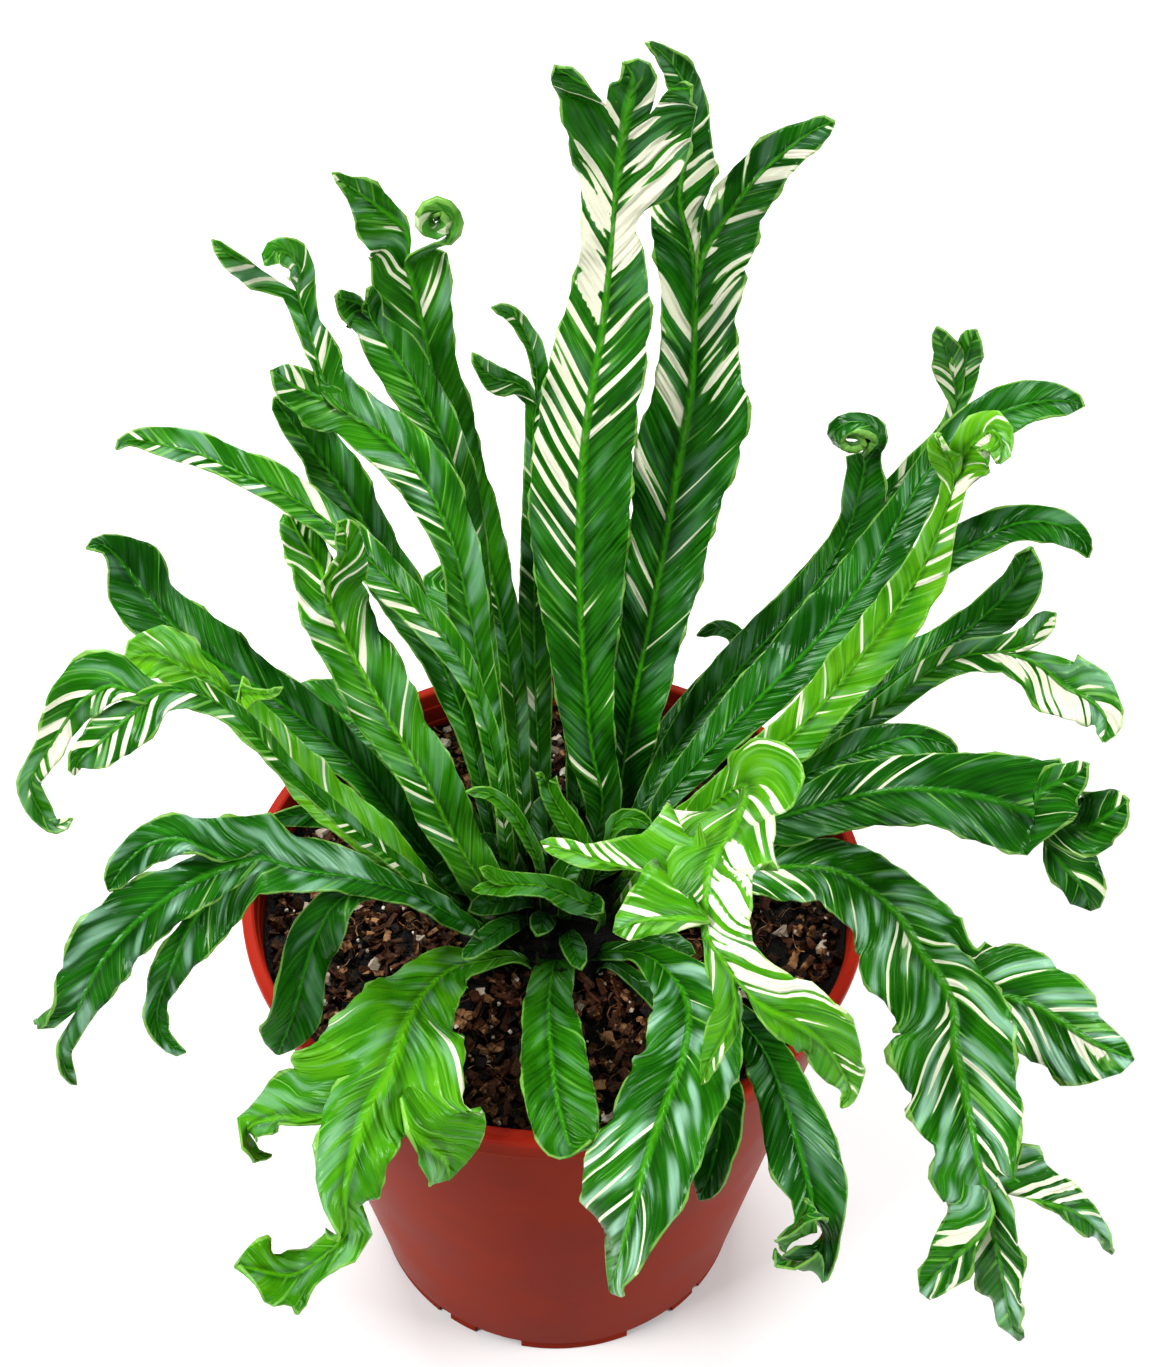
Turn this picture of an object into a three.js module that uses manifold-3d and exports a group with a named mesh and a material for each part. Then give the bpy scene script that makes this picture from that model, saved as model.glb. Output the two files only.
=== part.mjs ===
// A potted bird's nest fern with crested, wavy, cream-striped fronds in a plastic nursery pot.
// Millimetres, +Z up. Sizes below are from the pot's axis and the ground under its feet; the
// finished part's origin is on that ground, in the middle of the area that its fronds cover.
import * as THREE from "three";
import { mergeVertices } from "three/addons/utils/BufferGeometryUtils.js";
import Module from "manifold-3d";

const wasm = await Module();
wasm.setup();

// Driving dimensions of the pot
const POT_HEIGHT = 187;
const RIM_RADIUS = 105;
const RIM_INNER_RADIUS = 100.6;
const RIM_LIP_HEIGHT = 4;
const COLLAR_HEIGHT = 13.5;
const COLLAR_STEP = 0.9;
const BASE_RADIUS = 71;
const WALL = 2;
const FLOOR = 2.5;
const FOOT_HEIGHT = 5;
const FOOT_THICKNESS = 2.6;
const FOOT_INSET = 0.7;
const FEET_TURN = 5;
const DRAIN_HOLE_RADIUS = 4.5;
const DRAIN_HOLE_CIRCLE = 52;
const DRAIN_HOLES = 6;
const POT_SEGMENTS = 48;

// Each third of the circle carries these feet, as [first, last] angle in degrees from its middle
const FEET = [[-16.5, 16.5], [32, 41], [45, 75], [79, 88]];
const FEET_PERIOD = 120;

// Driving dimensions of the potting mix and of the crown that the stems grow from
const SOIL_LEVEL = 172;
const SOIL_ROUGHNESS = 0.9;
const CROWN_CENTER = [0, 2];
const CROWN_RADIUS = 37.5;
const CROWN_TOP = 177.5;
const CROWN_BOTTOM = 128;
const CLEARANCE = 0.3;

// Driving dimensions of the fronds
const BLADE = 0.8;
const MIDRIB = 0.9;
const STEM_FOOT = 167;
const CUPPING = 0.16;
const WAVE_HEIGHT = 2.2;
const WAVE_LENGTH = 38;
const WAVE_SHIFT_ACROSS = 1.9;
const ROW_SPACING = 15;
const FORK_BLEND = 14;
const LEAST_HALF_WIDTH = 1.2;
const SOCKET_TOP = 185;
const SOCKET_REACH = 46;

// Colours
const TERRACOTTA = 0xa5352a;
const BARK_BROWN = 0x3a251b;
const CROWN_BROWN = 0x2b2a17;
const LEAF_GREEN = 0x2f8a1d;

// The eye that the frond routes below were read with: a route's row is a pixel of that view and
// the depth (y, mm) at which its line of sight meets the frond's midrib.
const EYE = new THREE.Vector3(-5.7, -447.5, 695.5);
const AIM = new THREE.Vector3(6.65, 0, 276.1);
const EYE_ROLL = 0.004;
const FOCAL_PX = 2000;
const VIEW_CENTER_PX = [575.5, 683.5];
const LEAST_FORESHORTENING = 0.42;

// Fronds. heading: degrees from +X that the frond faces away from the crown's middle.
// columns: strips across the blade. reach: stretch of its depth. stem: [x, y] of its foot.
// route rows: px across, px down, depth, half width left and right of the midrib in px.
// A fork's lobes take the strips from..to of the row they grow from.
const FRONDS = [
  // Tall fronds at the back
  {
    name: "frond_01", heading: 84, columns: 6, reach: 1.25, stem: [7, 12],
    route: [
      [602, 812, 22, 16, 18], [592, 750, 27, 24, 24], [585, 680, 32, 31, 29],
      [580, 600, 38, 40, 42], [580, 520, 43, 51, 50], [584, 450, 48, 50, 50],
      [592, 390, 51, 48, 49], [601, 340, 54, 44, 48], [607, 290, 56, 35, 45],
      [611, 245, 57, 26, 27], [612, 222, 57, 27, 23], [612, 198, 57, 30, 32],
    ],
    lobes: [
      { from: 0, to: 2,
        route: [
          [596, 160, 58, 24, 22], [583, 120, 56, 22, 32], [568, 88, 54, 17, 24],
          [557, 66, 51, 8, 8],
        ],
      },
      { from: 2, to: 4,
        route: [
          [622, 160, 56, 17, 15], [633, 125, 54, 32, 18], [637, 95, 52, 26, 18],
          [634, 75, 50, 14, 20], [622, 63, 47, 5, 6],
        ],
      },
      { from: 4, to: 6,
        route: [
          [636, 172, 52, 18, 18], [655, 140, 48, 22, 24], [676, 115, 44, 20, 18],
          [692, 100, 41, 8, 8],
        ],
      },
    ],
  },
  {
    name: "frond_02", heading: 66, columns: 4, reach: 1.45, stem: [14, 22],
    route: [
      [614, 824, 25, 10, 13], [624, 760, 31, 17, 26], [634, 700, 33, 23, 32],
      [646, 640, 38, 27, 35], [658, 580, 43, 32, 42], [669, 520, 48, 38, 46],
      [681, 450, 53, 45, 58], [690, 400, 56, 38, 62], [694, 350, 60, 33, 44],
      [695, 312, 62, 33, 42],
    ],
    lobes: [
      { from: 0, to: 2,
        route: [
          [684, 260, 66, 28, 14], [679, 205, 68, 28, 26], [688, 150, 69, 24, 32],
          [694, 110, 68, 16, 14], [680, 76, 65, 16, 18], [662, 54, 62, 9, 9], [646, 43, 58, 4, 4],
        ],
      },
      { from: 2, to: 4,
        route: [
          [716, 258, 63, 18, 34], [732, 215, 64, 26, 32], [755, 180, 65, 25, 28],
          [785, 152, 66, 22, 22], [812, 132, 66, 14, 16], [834, 122, 64, 7, 8],
        ],
      },
    ],
  },
  {
    name: "frond_03", heading: 100, columns: 4, reach: 1.7, stem: [-3, 23],
    route: [
      [542, 820, 30, 7, 10], [538, 750, 38, 11, 13], [534, 650, 49, 16, 18],
      [535, 560, 52, 15, 15], [533, 480, 54, 10, 10], [533, 430, 57, 8, 9], [537, 405, 58, 12, 12],
    ],
    lobes: [
      { from: 0, to: 2,
        route: [
          [518, 388, 57, 10, 14], [498, 382, 56, 14, 16], [484, 370, 55, 9, 10],
          [473, 353, 54, 3, 3],
        ],
      },
      { from: 2, to: 4,
        route: [
          [541, 375, 58, 9, 9], [533, 345, 58, 9, 9], [515, 317, 57, 8, 8], [492, 307, 55, 5, 5],
        ],
      },
    ],
  },
  // Upright fronds at the back left
  {
    name: "frond_04", heading: 112, columns: 4, reach: 1.6, stem: [-7, 15],
    route: [
      [527, 845, 18, 7, 7], [521, 780, 25, 9, 9], [514, 700, 34, 13, 14], [505, 640, 41, 18, 16],
      [492, 580, 46, 23, 21], [475, 520, 52, 28, 24], [456, 465, 56, 32, 28],
      [441, 420, 60, 36, 32], [431, 370, 63, 36, 28], [423, 330, 66, 28, 30],
      [414, 290, 68, 38, 36], [407, 266, 69, 40, 42],
    ],
    lobes: [
      { from: 0, to: 2,
        route: [
          [392, 243, 70, 28, 20], [374, 216, 70, 22, 24], [358, 196, 69, 14, 20],
          [345, 184, 68, 8, 9], [333, 173, 66, 3, 3],
        ],
      },
      { from: 2, to: 4, curl: true,
        route: [
          [424, 252, 67, 20, 14], [444, 240, 65, 10, 10],
        ],
        coil: { center: [437, 221], depth: 62, radii: [18, 18], turns: 1.6,
          start: -45, halfWidth: 3.2 },
      },
    ],
  },
  {
    name: "frond_05", heading: 118, columns: 4, reach: 1.5, stem: [-13, 11],
    route: [
      [520, 848, 14, 6, 6], [497, 730, 26, 9, 9], [478, 600, 37, 14, 14], [463, 500, 44, 18, 18],
      [447, 450, 48, 20, 20], [418, 392, 53, 26, 24], [392, 350, 57, 26, 24],
      [372, 322, 59, 20, 12],
    ],
    lobes: [
      { from: 0, to: 2,
        route: [
          [358, 312, 60, 20, 12], [344, 302, 58, 14, 12], [336, 296, 55, 5, 6],
        ],
      },
      { from: 2, to: 4,
        route: [
          [372, 307, 60, 12, 12], [370, 296, 58, 9, 9], [368, 290, 55, 5, 5],
        ],
      },
    ],
  },
  {
    name: "frond_06", heading: 128, columns: 4, reach: 1.3, stem: [-8, 6],
    route: [
      [507, 840, 8, 8, 8], [494, 750, 16, 10, 12], [481, 680, 23, 14, 15], [468, 610, 29, 19, 20],
      [452, 545, 34, 18, 26], [427, 487, 39, 25, 30], [398, 450, 43, 30, 30],
      [374, 430, 46, 27, 30],
    ],
    lobes: [
      { from: 0, to: 2,
        route: [
          [345, 418, 47, 18, 20], [315, 402, 46, 26, 22], [290, 385, 44, 20, 20],
          [272, 370, 42, 8, 8],
        ],
      },
      { from: 2, to: 4,
        route: [
          [338, 392, 49, 14, 18], [317, 352, 52, 12, 20], [304, 315, 54, 12, 14],
          [297, 292, 55, 16, 18],
        ],
        lobes: [
          { from: 0, to: 1,
            route: [
              [262, 277, 55, 17, 8], [237, 262, 54, 15, 8], [212, 240, 52, 3, 3],
            ],
          },
          { from: 1, to: 2,
            route: [
              [300, 270, 54, 16, 14], [290, 254, 51, 16, 14], [274, 252, 47, 14, 12],
              [266, 266, 44, 8, 8],
            ],
          },
        ],
      },
    ],
  },
  {
    name: "frond_07", heading: 140, columns: 4, reach: 1.5, stem: [-20, 11],
    route: [
      [497, 858, 14, 7, 7], [470, 740, 26, 12, 12], [440, 660, 34, 20, 20], [410, 600, 40, 28, 16],
      [380, 552, 44, 32, 21], [348, 500, 48, 32, 26], [315, 455, 51, 18, 30],
      [288, 418, 52, 11, 20], [274, 398, 52, 7, 7],
    ],
  },
  {
    name: "frond_08", heading: 162, columns: 4, reach: 1.02, stem: [-14, -1],
    route: [
      [506, 850, 2, 7, 7], [497, 780, 8, 8, 8], [482, 715, 14, 9, 10], [462, 665, 18, 12, 12],
      [435, 630, 22, 18, 15], [400, 592, 28, 20, 18], [360, 552, 33, 17, 18],
      [320, 517, 36, 17, 20], [280, 492, 37, 13, 22], [240, 474, 40, 13, 22],
      [200, 455, 43, 13, 22], [160, 445, 45, 10, 18], [128, 440, 45, 6, 7], [116, 450, 43, 3, 3],
    ],
  },
  // Fronds to the left
  {
    name: "frond_09", heading: 150, columns: 4, reach: 1, stem: [-12, -15],
    route: [
      [511, 943, -16, 9, 9], [490, 900, -14, 17, 18], [456, 842, -6, 22, 27],
      [425, 782, 2, 25, 31], [395, 732, 8, 27, 34], [367, 682, 14, 32, 37], [345, 642, 19, 30, 38],
      [328, 606, 20, 30, 38],
    ],
    lobes: [
      { from: 0, to: 2,
        route: [
          [312, 570, 31, 22, 22], [298, 535, 38, 19, 24], [288, 510, 43, 12, 14],
        ],
      },
      { from: 2, to: 4,
        route: [
          [344, 585, 16, 22, 20], [356, 562, 6, 20, 20], [362, 556, -4, 18, 16],
          [368, 575, -11, 14, 14], [372, 600, -16, 8, 8],
        ],
      },
    ],
  },
  {
    name: "frond_10", heading: 166, columns: 4, reach: 1, stem: [-22, -8],
    route: [
      [487, 930, -9, 7, 7], [442, 875, -6, 12, 13], [402, 825, -2, 16, 18], [370, 782, 3, 19, 21],
      [335, 746, 8, 22, 23], [298, 716, 12, 25, 25], [260, 690, 16, 28, 28],
      [220, 665, 20, 30, 33], [182, 635, 24, 34, 32], [150, 600, 27, 36, 28],
      [125, 568, 29, 26, 32], [104, 546, 28, 10, 12], [86, 548, 25, 4, 4],
    ],
  },
  {
    name: "frond_11", heading: 174, columns: 4, reach: 1, stem: [-27, -14],
    route: [
      [474, 925, -12, 6, 6], [440, 897, -14, 10, 11], [400, 860, -17, 15, 16],
      [360, 830, -15, 21, 25], [320, 797, -13, 19, 26], [290, 768, -11, 16, 24],
      [262, 736, -9, 18, 24], [238, 708, -7, 18, 20],
    ],
    lobes: [
      { from: 0, to: 2,
        route: [
          [210, 690, -7, 14, 14], [185, 676, -8, 18, 22], [160, 662, -9, 22, 24],
          [138, 660, -11, 20, 16], [126, 664, -13, 8, 8],
        ],
      },
      { from: 2, to: 4,
        route: [
          [240, 698, -10, 7, 10], [255, 696, -13, 6, 7], [270, 694, -16, 5, 5],
          [282, 687, -17, 2, 2],
        ],
      },
    ],
  },
  {
    name: "frond_12", heading: 186, columns: 4, reach: 1, stem: [-20, -14],
    route: [
      [486, 932, -17, 5, 5], [448, 902, -19, 6, 6], [400, 866, -24, 8, 8], [345, 822, -30, 9, 9],
      [290, 772, -33, 9, 10], [245, 725, -35, 12, 12], [215, 702, -36, 14, 12],
      [190, 692, -38, 16, 14],
    ],
    lobes: [
      { from: 0, to: 2,
        route: [
          [162, 700, -42, 16, 16], [130, 722, -46, 26, 24], [100, 744, -49, 24, 22],
          [78, 762, -52, 12, 12], [74, 775, -53, 4, 4],
        ],
      },
      { from: 2, to: 4,
        route: [
          [150, 682, -38, 14, 30], [112, 684, -41, 18, 38], [80, 704, -44, 20, 34],
          [52, 742, -49, 14, 16], [30, 782, -53, 12, 12], [40, 812, -55, 12, 12],
          [56, 826, -55, 8, 8], [72, 818, -54, 4, 4],
        ],
      },
    ],
  },
  {
    name: "frond_13", heading: 200, columns: 6, reach: 1, stem: [-19, -26],
    route: [
      [484, 938, -27, 8, 8], [445, 912, -36, 12, 11], [400, 891, -42, 14, 14],
      [350, 878, -47, 16, 24], [300, 870, -51, 24, 34], [262, 858, -54, 34, 40],
    ],
    lobes: [
      { from: 4, to: 6,
        route: [
          [225, 842, -56, 20, 22], [182, 834, -59, 22, 20], [148, 845, -62, 20, 20],
          [124, 866, -66, 16, 16], [108, 890, -70, 7, 7],
        ],
      },
      { from: 2, to: 4,
        route: [
          [215, 872, -62, 26, 22], [168, 898, -70, 28, 30], [128, 930, -77, 28, 42],
          [98, 968, -84, 26, 38], [78, 1008, -90, 20, 24],
        ],
        lobes: [
          { from: 0, to: 1,
            route: [
              [66, 1045, -94, 8, 8], [66, 1070, -96, 6, 6], [76, 1085, -96, 3, 3],
            ],
          },
          { from: 1, to: 2,
            route: [
              [58, 1018, -92, 8, 8], [44, 1024, -93, 8, 8], [38, 1020, -91, 3, 3],
            ],
          },
        ],
      },
      { from: 0, to: 2,
        route: [
          [232, 900, -64, 22, 20], [200, 930, -72, 22, 20], [174, 965, -79, 18, 20],
          [158, 1000, -84, 11, 16], [158, 1030, -88, 9, 10], [172, 1048, -90, 7, 6],
          [186, 1052, -90, 3, 3],
        ],
      },
    ],
  },
  {
    name: "frond_14", heading: 176, columns: 4, reach: 1, stem: [-24, -1],
    route: [
      [472, 903, -2, 4, 4], [440, 884, -3, 6, 6], [400, 858, -4, 8, 8], [365, 832, -4, 12, 11],
      [330, 816, -4, 13, 11], [295, 815, -6, 12, 8], [264, 822, -9, 4, 4],
    ],
  },
  {
    name: "frond_15", heading: 212, columns: 4, reach: 1, stem: [-18, -20],
    route: [
      [480, 938, -22, 5, 5], [445, 915, -27, 6, 6], [405, 898, -35, 7, 7], [365, 891, -43, 9, 9],
      [335, 904, -50, 20, 18], [314, 940, -56, 24, 26], [300, 985, -63, 24, 28],
      [290, 1022, -68, 22, 28], [278, 1054, -73, 14, 18],
    ],
  },
  // Fronds that hang over the front
  {
    name: "frond_16", heading: 238, columns: 6, reach: 1, stem: [-5, -27],
    route: [
      [516, 958, -31, 7, 7], [482, 962, -35, 10, 9], [450, 970, -38, 24, 22],
      [422, 996, -55, 36, 36], [404, 1028, -77, 56, 54], [392, 1060, -92, 70, 62],
    ],
    lobes: [
      { from: 4, to: 6,
        route: [
          [350, 1078, -96, 34, 30], [308, 1090, -99, 34, 30], [275, 1106, -101, 20, 24],
          [250, 1126, -103, 13, 13], [246, 1146, -104, 8, 8], [258, 1156, -103, 4, 5],
          [272, 1155, -101, 2, 2],
        ],
      },
      { from: 2, to: 4,
        route: [
          [372, 1110, -108, 36, 40], [352, 1155, -122, 36, 34], [343, 1200, -131, 32, 22],
          [344, 1236, -136, 26, 20], [318, 1262, -139, 20, 18], [290, 1276, -142, 34, 24],
          [262, 1272, -146, 30, 24], [236, 1266, -148, 10, 12],
        ],
      },
      { from: 0, to: 2,
        route: [
          [424, 1085, -102, 40, 30], [440, 1112, -109, 38, 32], [447, 1142, -114, 32, 28],
          [450, 1166, -117, 20, 18], [449, 1178, -118, 8, 8],
        ],
      },
    ],
  },
  {
    name: "frond_17", heading: 270, columns: 4, reach: 1, stem: [0, -21],
    route: [
      [555, 963, -29, 20, 18], [549, 1000, -46, 24, 24], [551, 1050, -72, 34, 30],
      [557, 1095, -94, 37, 34], [565, 1130, -108, 34, 30], [574, 1148, -116, 20, 20],
      [596, 1142, -119, 12, 12],
    ],
  },
  {
    name: "frond_18", heading: 292, columns: 4, reach: 1, stem: [10, -20],
    route: [
      [602, 953, -25, 8, 8], [640, 954, -34, 14, 12], [668, 972, -47, 22, 22],
      [688, 1005, -66, 50, 34], [685, 1050, -90, 56, 42], [668, 1100, -110, 62, 42],
      [650, 1150, -126, 54, 54], [636, 1200, -138, 44, 50], [623, 1250, -146, 26, 34],
      [612, 1292, -150, 8, 10],
    ],
  },
  {
    name: "frond_19", heading: 300, columns: 4, reach: 1, stem: [12, -28],
    route: [
      [608, 963, -31, 6, 6], [645, 987, -41, 10, 10], [690, 1030, -67, 16, 16],
      [712, 1075, -90, 24, 24], [720, 1120, -112, 26, 26], [713, 1165, -124, 22, 24],
      [700, 1200, -131, 9, 9],
    ],
  },
  {
    name: "frond_20", heading: 306, columns: 4, reach: 1, stem: [19, -16],
    route: [
      [628, 940, -19, 6, 6], [685, 978, -39, 10, 10], [732, 1013, -59, 14, 14],
      [764, 1052, -81, 22, 22], [784, 1100, -105, 30, 26], [800, 1150, -120, 38, 34],
      [812, 1195, -130, 38, 20],
    ],
    lobes: [
      { from: 0, to: 2,
        route: [
          [832, 1228, -136, 14, 16], [826, 1256, -139, 14, 16], [808, 1268, -142, 12, 12],
          [790, 1262, -146, 10, 10], [776, 1266, -148, 5, 5],
        ],
      },
      { from: 2, to: 4,
        route: [
          [805, 1222, -136, 12, 10], [797, 1238, -142, 12, 10], [800, 1222, -148, 10, 10],
          [812, 1214, -150, 8, 8], [826, 1220, -149, 4, 4],
        ],
      },
    ],
  },
  {
    name: "frond_21", heading: 20, columns: 8, reach: 1, stem: [16, -7],
    route: [
      [640, 880, -10, 7, 7], [672, 845, -13, 10, 10], [712, 806, -18, 18, 16],
      [742, 786, -28, 32, 28], [745, 800, -46, 44, 46], [730, 836, -64, 40, 52],
    ],
    lobes: [
      { from: 6, to: 8,
        route: [
          [685, 838, -66, 16, 18], [640, 847, -68, 15, 17], [600, 850, -68, 16, 12],
          [566, 844, -66, 12, 9], [542, 842, -62, 4, 4],
        ],
      },
      { from: 0, to: 6,
        route: [
          [713, 870, -79, 50, 34], [704, 902, -91, 46, 34],
        ],
        lobes: [
          { from: 4, to: 6,
            route: [
              [678, 898, -91, 15, 15], [650, 912, -94, 16, 18], [624, 934, -96, 8, 10],
            ],
          },
          { from: 0, to: 4,
            route: [
              [712, 940, -102, 36, 18], [733, 980, -111, 32, 26],
            ],
            lobes: [
              { from: 0, to: 2,
                route: [
                  [775, 1002, -118, 22, 16], [815, 1030, -123, 30, 18], [840, 1070, -127, 16, 22],
                  [848, 1095, -128, 7, 7], [840, 1107, -128, 3, 3],
                ],
              },
              { from: 2, to: 4,
                route: [
                  [726, 1015, -116, 18, 16], [714, 1050, -119, 12, 12], [702, 1084, -121, 3, 3],
                ],
              },
            ],
          },
        ],
      },
    ],
  },
  // Fronds to the right
  {
    name: "frond_22", heading: -32, columns: 8, reach: 1, stem: [23, -11],
    route: [
      [645, 905, -13, 7, 7], [700, 880, -12, 12, 14], [770, 868, -12, 24, 32],
      [830, 870, -17, 32, 36], [872, 892, -30, 34, 42], [903, 922, -46, 42, 54],
      [922, 955, -60, 54, 62],
    ],
    lobes: [
      { from: 0, to: 2,
        route: [
          [962, 968, -65, 28, 30], [1008, 988, -72, 44, 36], [1050, 1014, -78, 42, 50],
          [1092, 1042, -84, 26, 48], [1118, 1054, -89, 16, 30], [1134, 1060, -91, 8, 10],
        ],
      },
      { from: 2, to: 8,
        route: [
          [946, 1005, -80, 50, 52], [956, 1050, -98, 66, 60], [967, 1100, -114, 56, 56],
          [976, 1148, -127, 44, 42], [982, 1172, -131, 42, 46],
        ],
        lobes: [
          { from: 4, to: 6,
            route: [
              [968, 1205, -136, 24, 22], [954, 1245, -142, 26, 17], [932, 1280, -146, 20, 13],
              [920, 1292, -147, 6, 6],
            ],
          },
          { from: 2, to: 4,
            route: [
              [990, 1210, -138, 24, 22], [998, 1250, -144, 22, 26], [1006, 1290, -149, 18, 22],
              [1013, 1325, -153, 9, 14], [1019, 1340, -154, 6, 6],
            ],
          },
          { from: 0, to: 2,
            route: [
              [1005, 1165, -131, 20, 22], [1035, 1180, -133, 18, 18], [1070, 1203, -136, 17, 18],
              [1098, 1230, -139, 10, 12], [1112, 1254, -140, 4, 4],
            ],
          },
        ],
      },
    ],
  },
  {
    name: "frond_23", heading: -2, columns: 6, reach: 1, stem: [23, -4],
    route: [
      [662, 868, -4, 8, 8], [700, 848, -4, 12, 12], [750, 828, -5, 18, 18], [800, 812, -6, 24, 34],
      [850, 798, -7, 30, 32], [900, 790, -8, 34, 36], [950, 792, -10, 38, 40],
      [1000, 802, -13, 48, 46], [1038, 816, -16, 60, 42],
    ],
    lobes: [
      { from: 4, to: 6,
        route: [
          [1058, 796, -18, 24, 26], [1076, 778, -20, 16, 16], [1088, 764, -22, 6, 6],
        ],
      },
      { from: 2, to: 4,
        route: [
          [1082, 828, -20, 30, 28], [1108, 816, -24, 26, 26], [1122, 806, -26, 18, 16],
          [1128, 800, -27, 7, 7],
        ],
      },
      { from: 0, to: 2,
        route: [
          [1068, 852, -21, 24, 26], [1080, 878, -26, 24, 22], [1088, 898, -29, 16, 16],
          [1090, 910, -30, 7, 7],
        ],
      },
    ],
  },
  {
    name: "frond_24", heading: 10, columns: 4, reach: 1, stem: [26, 1],
    route: [
      [700, 830, 5, 8, 8], [760, 797, 8, 11, 11], [820, 769, 9, 14, 14], [870, 749, 9, 22, 14],
      [910, 737, 10, 14, 20], [945, 744, 9, 8, 10], [958, 755, 7, 3, 3],
    ],
  },
  {
    name: "frond_25", heading: 30, columns: 4, reach: 1, stem: [15, 1],
    route: [
      [672, 826, 6, 9, 9], [700, 806, 6, 12, 12], [745, 775, 8, 20, 22], [790, 738, 10, 22, 26],
      [830, 696, 12, 24, 26], [865, 652, 14, 24, 30], [895, 612, 16, 24, 32],
      [918, 578, 18, 18, 28], [936, 540, 19, 16, 20], [948, 508, 20, 12, 14],
      [955, 484, 21, 12, 14],
    ],
    lobes: [
      { from: 0, to: 2,
        route: [
          [945, 466, 21, 12, 10], [942, 448, 20, 14, 14], [958, 432, 18, 14, 12],
          [972, 436, 15, 10, 10],
        ],
      },
      { from: 2, to: 4,
        route: [
          [966, 458, 20, 16, 16], [976, 432, 18, 18, 16], [992, 424, 14, 20, 18],
          [1002, 448, 9, 20, 20], [992, 472, 5, 12, 12],
        ],
      },
    ],
  },
  {
    name: "frond_26", heading: 38, columns: 4, reach: 1, stem: [16, 9],
    route: [
      [642, 834, 14, 7, 7], [668, 797, 19, 12, 12], [706, 754, 24, 20, 18], [750, 708, 32, 26, 22],
      [800, 658, 43, 32, 26], [845, 608, 50, 32, 30], [878, 560, 58, 28, 28],
      [902, 515, 64, 18, 24], [930, 470, 70, 17, 22], [962, 435, 74, 18, 26],
      [1000, 414, 77, 26, 24], [1040, 402, 77, 22, 18], [1070, 402, 74, 12, 14],
      [1084, 406, 70, 5, 5],
    ],
  },
  {
    name: "frond_27", heading: 48, columns: 4, reach: 1, stem: [14, 16],
    route: [
      [630, 827, 19, 7, 7], [656, 780, 28, 11, 12], [684, 736, 37, 17, 17], [722, 690, 47, 24, 22],
      [762, 646, 55, 26, 22], [800, 606, 61, 22, 22], [832, 562, 68, 18, 22],
      [852, 520, 73, 12, 26], [862, 485, 75, 18, 26], [866, 462, 75, 20, 18],
    ],
    lobes: [
      { from: 0, to: 4, curl: true,
        route: [
          [874, 452, 74, 8, 8],
        ],
        coil: { center: [854, 437], depth: 71, radii: [24, 16], turns: 1.5,
          start: -35, halfWidth: 4.2 },
      },
    ],
  },
  {
    name: "frond_28", heading: 22, columns: 4, reach: 1, stem: [24, 12],
    route: [
      [680, 838, 14, 10, 10], [700, 818, 16, 12, 12], [755, 780, 23, 16, 16],
      [810, 742, 29, 22, 20], [860, 706, 33, 20, 22], [905, 672, 36, 26, 20],
      [948, 644, 38, 20, 20], [985, 616, 40, 17, 24], [1012, 588, 38, 17, 30],
      [1026, 564, 38, 13, 26], [1031, 548, 37, 8, 14],
    ],
  },
  {
    name: "frond_29", heading: 16, columns: 4, reach: 1, stem: [26, 7],
    route: [
      [678, 852, 9, 7, 7], [705, 832, 10, 9, 9], [765, 794, 14, 10, 10], [825, 755, 19, 11, 9],
      [880, 712, 22, 12, 12], [930, 672, 25, 14, 16], [965, 656, 25, 14, 18],
      [1000, 652, 24, 16, 20],
    ],
    lobes: [
      { from: 0, to: 2,
        route: [
          [1025, 640, 26, 12, 12], [1045, 622, 28, 12, 12], [1056, 613, 28, 4, 4],
        ],
      },
      { from: 2, to: 4,
        route: [
          [1035, 672, 20, 22, 24], [1062, 690, 15, 34, 28], [1088, 700, 8, 34, 26],
          [1106, 718, 1, 20, 16], [1104, 742, -5, 6, 6],
        ],
      },
    ],
  },
  {
    name: "frond_30", heading: 30, columns: 4, reach: 1, stem: [20, 22],
    route: [
      [648, 812, 32, 6, 6], [690, 760, 42, 9, 9], [750, 705, 52, 12, 12], [810, 655, 60, 14, 14],
      [870, 605, 66, 18, 18], [925, 568, 70, 22, 16], [970, 546, 72, 26, 16],
      [1015, 524, 72, 18, 18], [1055, 524, 70, 16, 20], [1082, 540, 66, 10, 14],
      [1088, 558, 62, 4, 4],
    ],
  },
  {
    name: "frond_31", heading: 52, columns: 4, reach: 1, stem: [9, 25],
    route: [
      [632, 805, 34, 5, 5], [670, 745, 48, 8, 8], [720, 680, 62, 10, 10], [775, 615, 74, 11, 11],
      [840, 545, 84, 12, 12], [900, 480, 92, 10, 10], [945, 430, 98, 8, 8], [957, 405, 100, 9, 9],
    ],
    lobes: [
      { from: 0, to: 2,
        route: [
          [952, 385, 100, 12, 12], [946, 360, 99, 13, 13], [938, 334, 97, 5, 5],
        ],
      },
      { from: 2, to: 4,
        route: [
          [966, 380, 99, 11, 11], [968, 355, 97, 13, 13], [976, 330, 95, 6, 6],
        ],
      },
    ],
  },
  {
    name: "frond_32", heading: 60, columns: 4, reach: 1, stem: [2, 28],
    route: [
      [622, 812, 38, 4, 4], [655, 745, 58, 8, 8], [700, 690, 76, 10, 10], [738, 652, 88, 10, 12],
      [736, 634, 90, 10, 8], [718, 628, 88, 8, 8], [697, 636, 85, 3, 3],
    ],
  },
  // Young leaves in the middle of the nest
  {
    name: "frond_33", heading: 110, columns: 4, reach: 1, stem: [6, -1],
    route: [
      [588, 862, 2, 8, 8], [574, 832, 6, 12, 12], [557, 805, 9, 12, 10], [548, 788, 10, 10, 10],
    ],
    lobes: [
      { from: 0, to: 2,
        route: [
          [541, 778, 10, 4, 4], [537, 774, 8, 2, 2],
        ],
      },
      { from: 2, to: 4,
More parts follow.
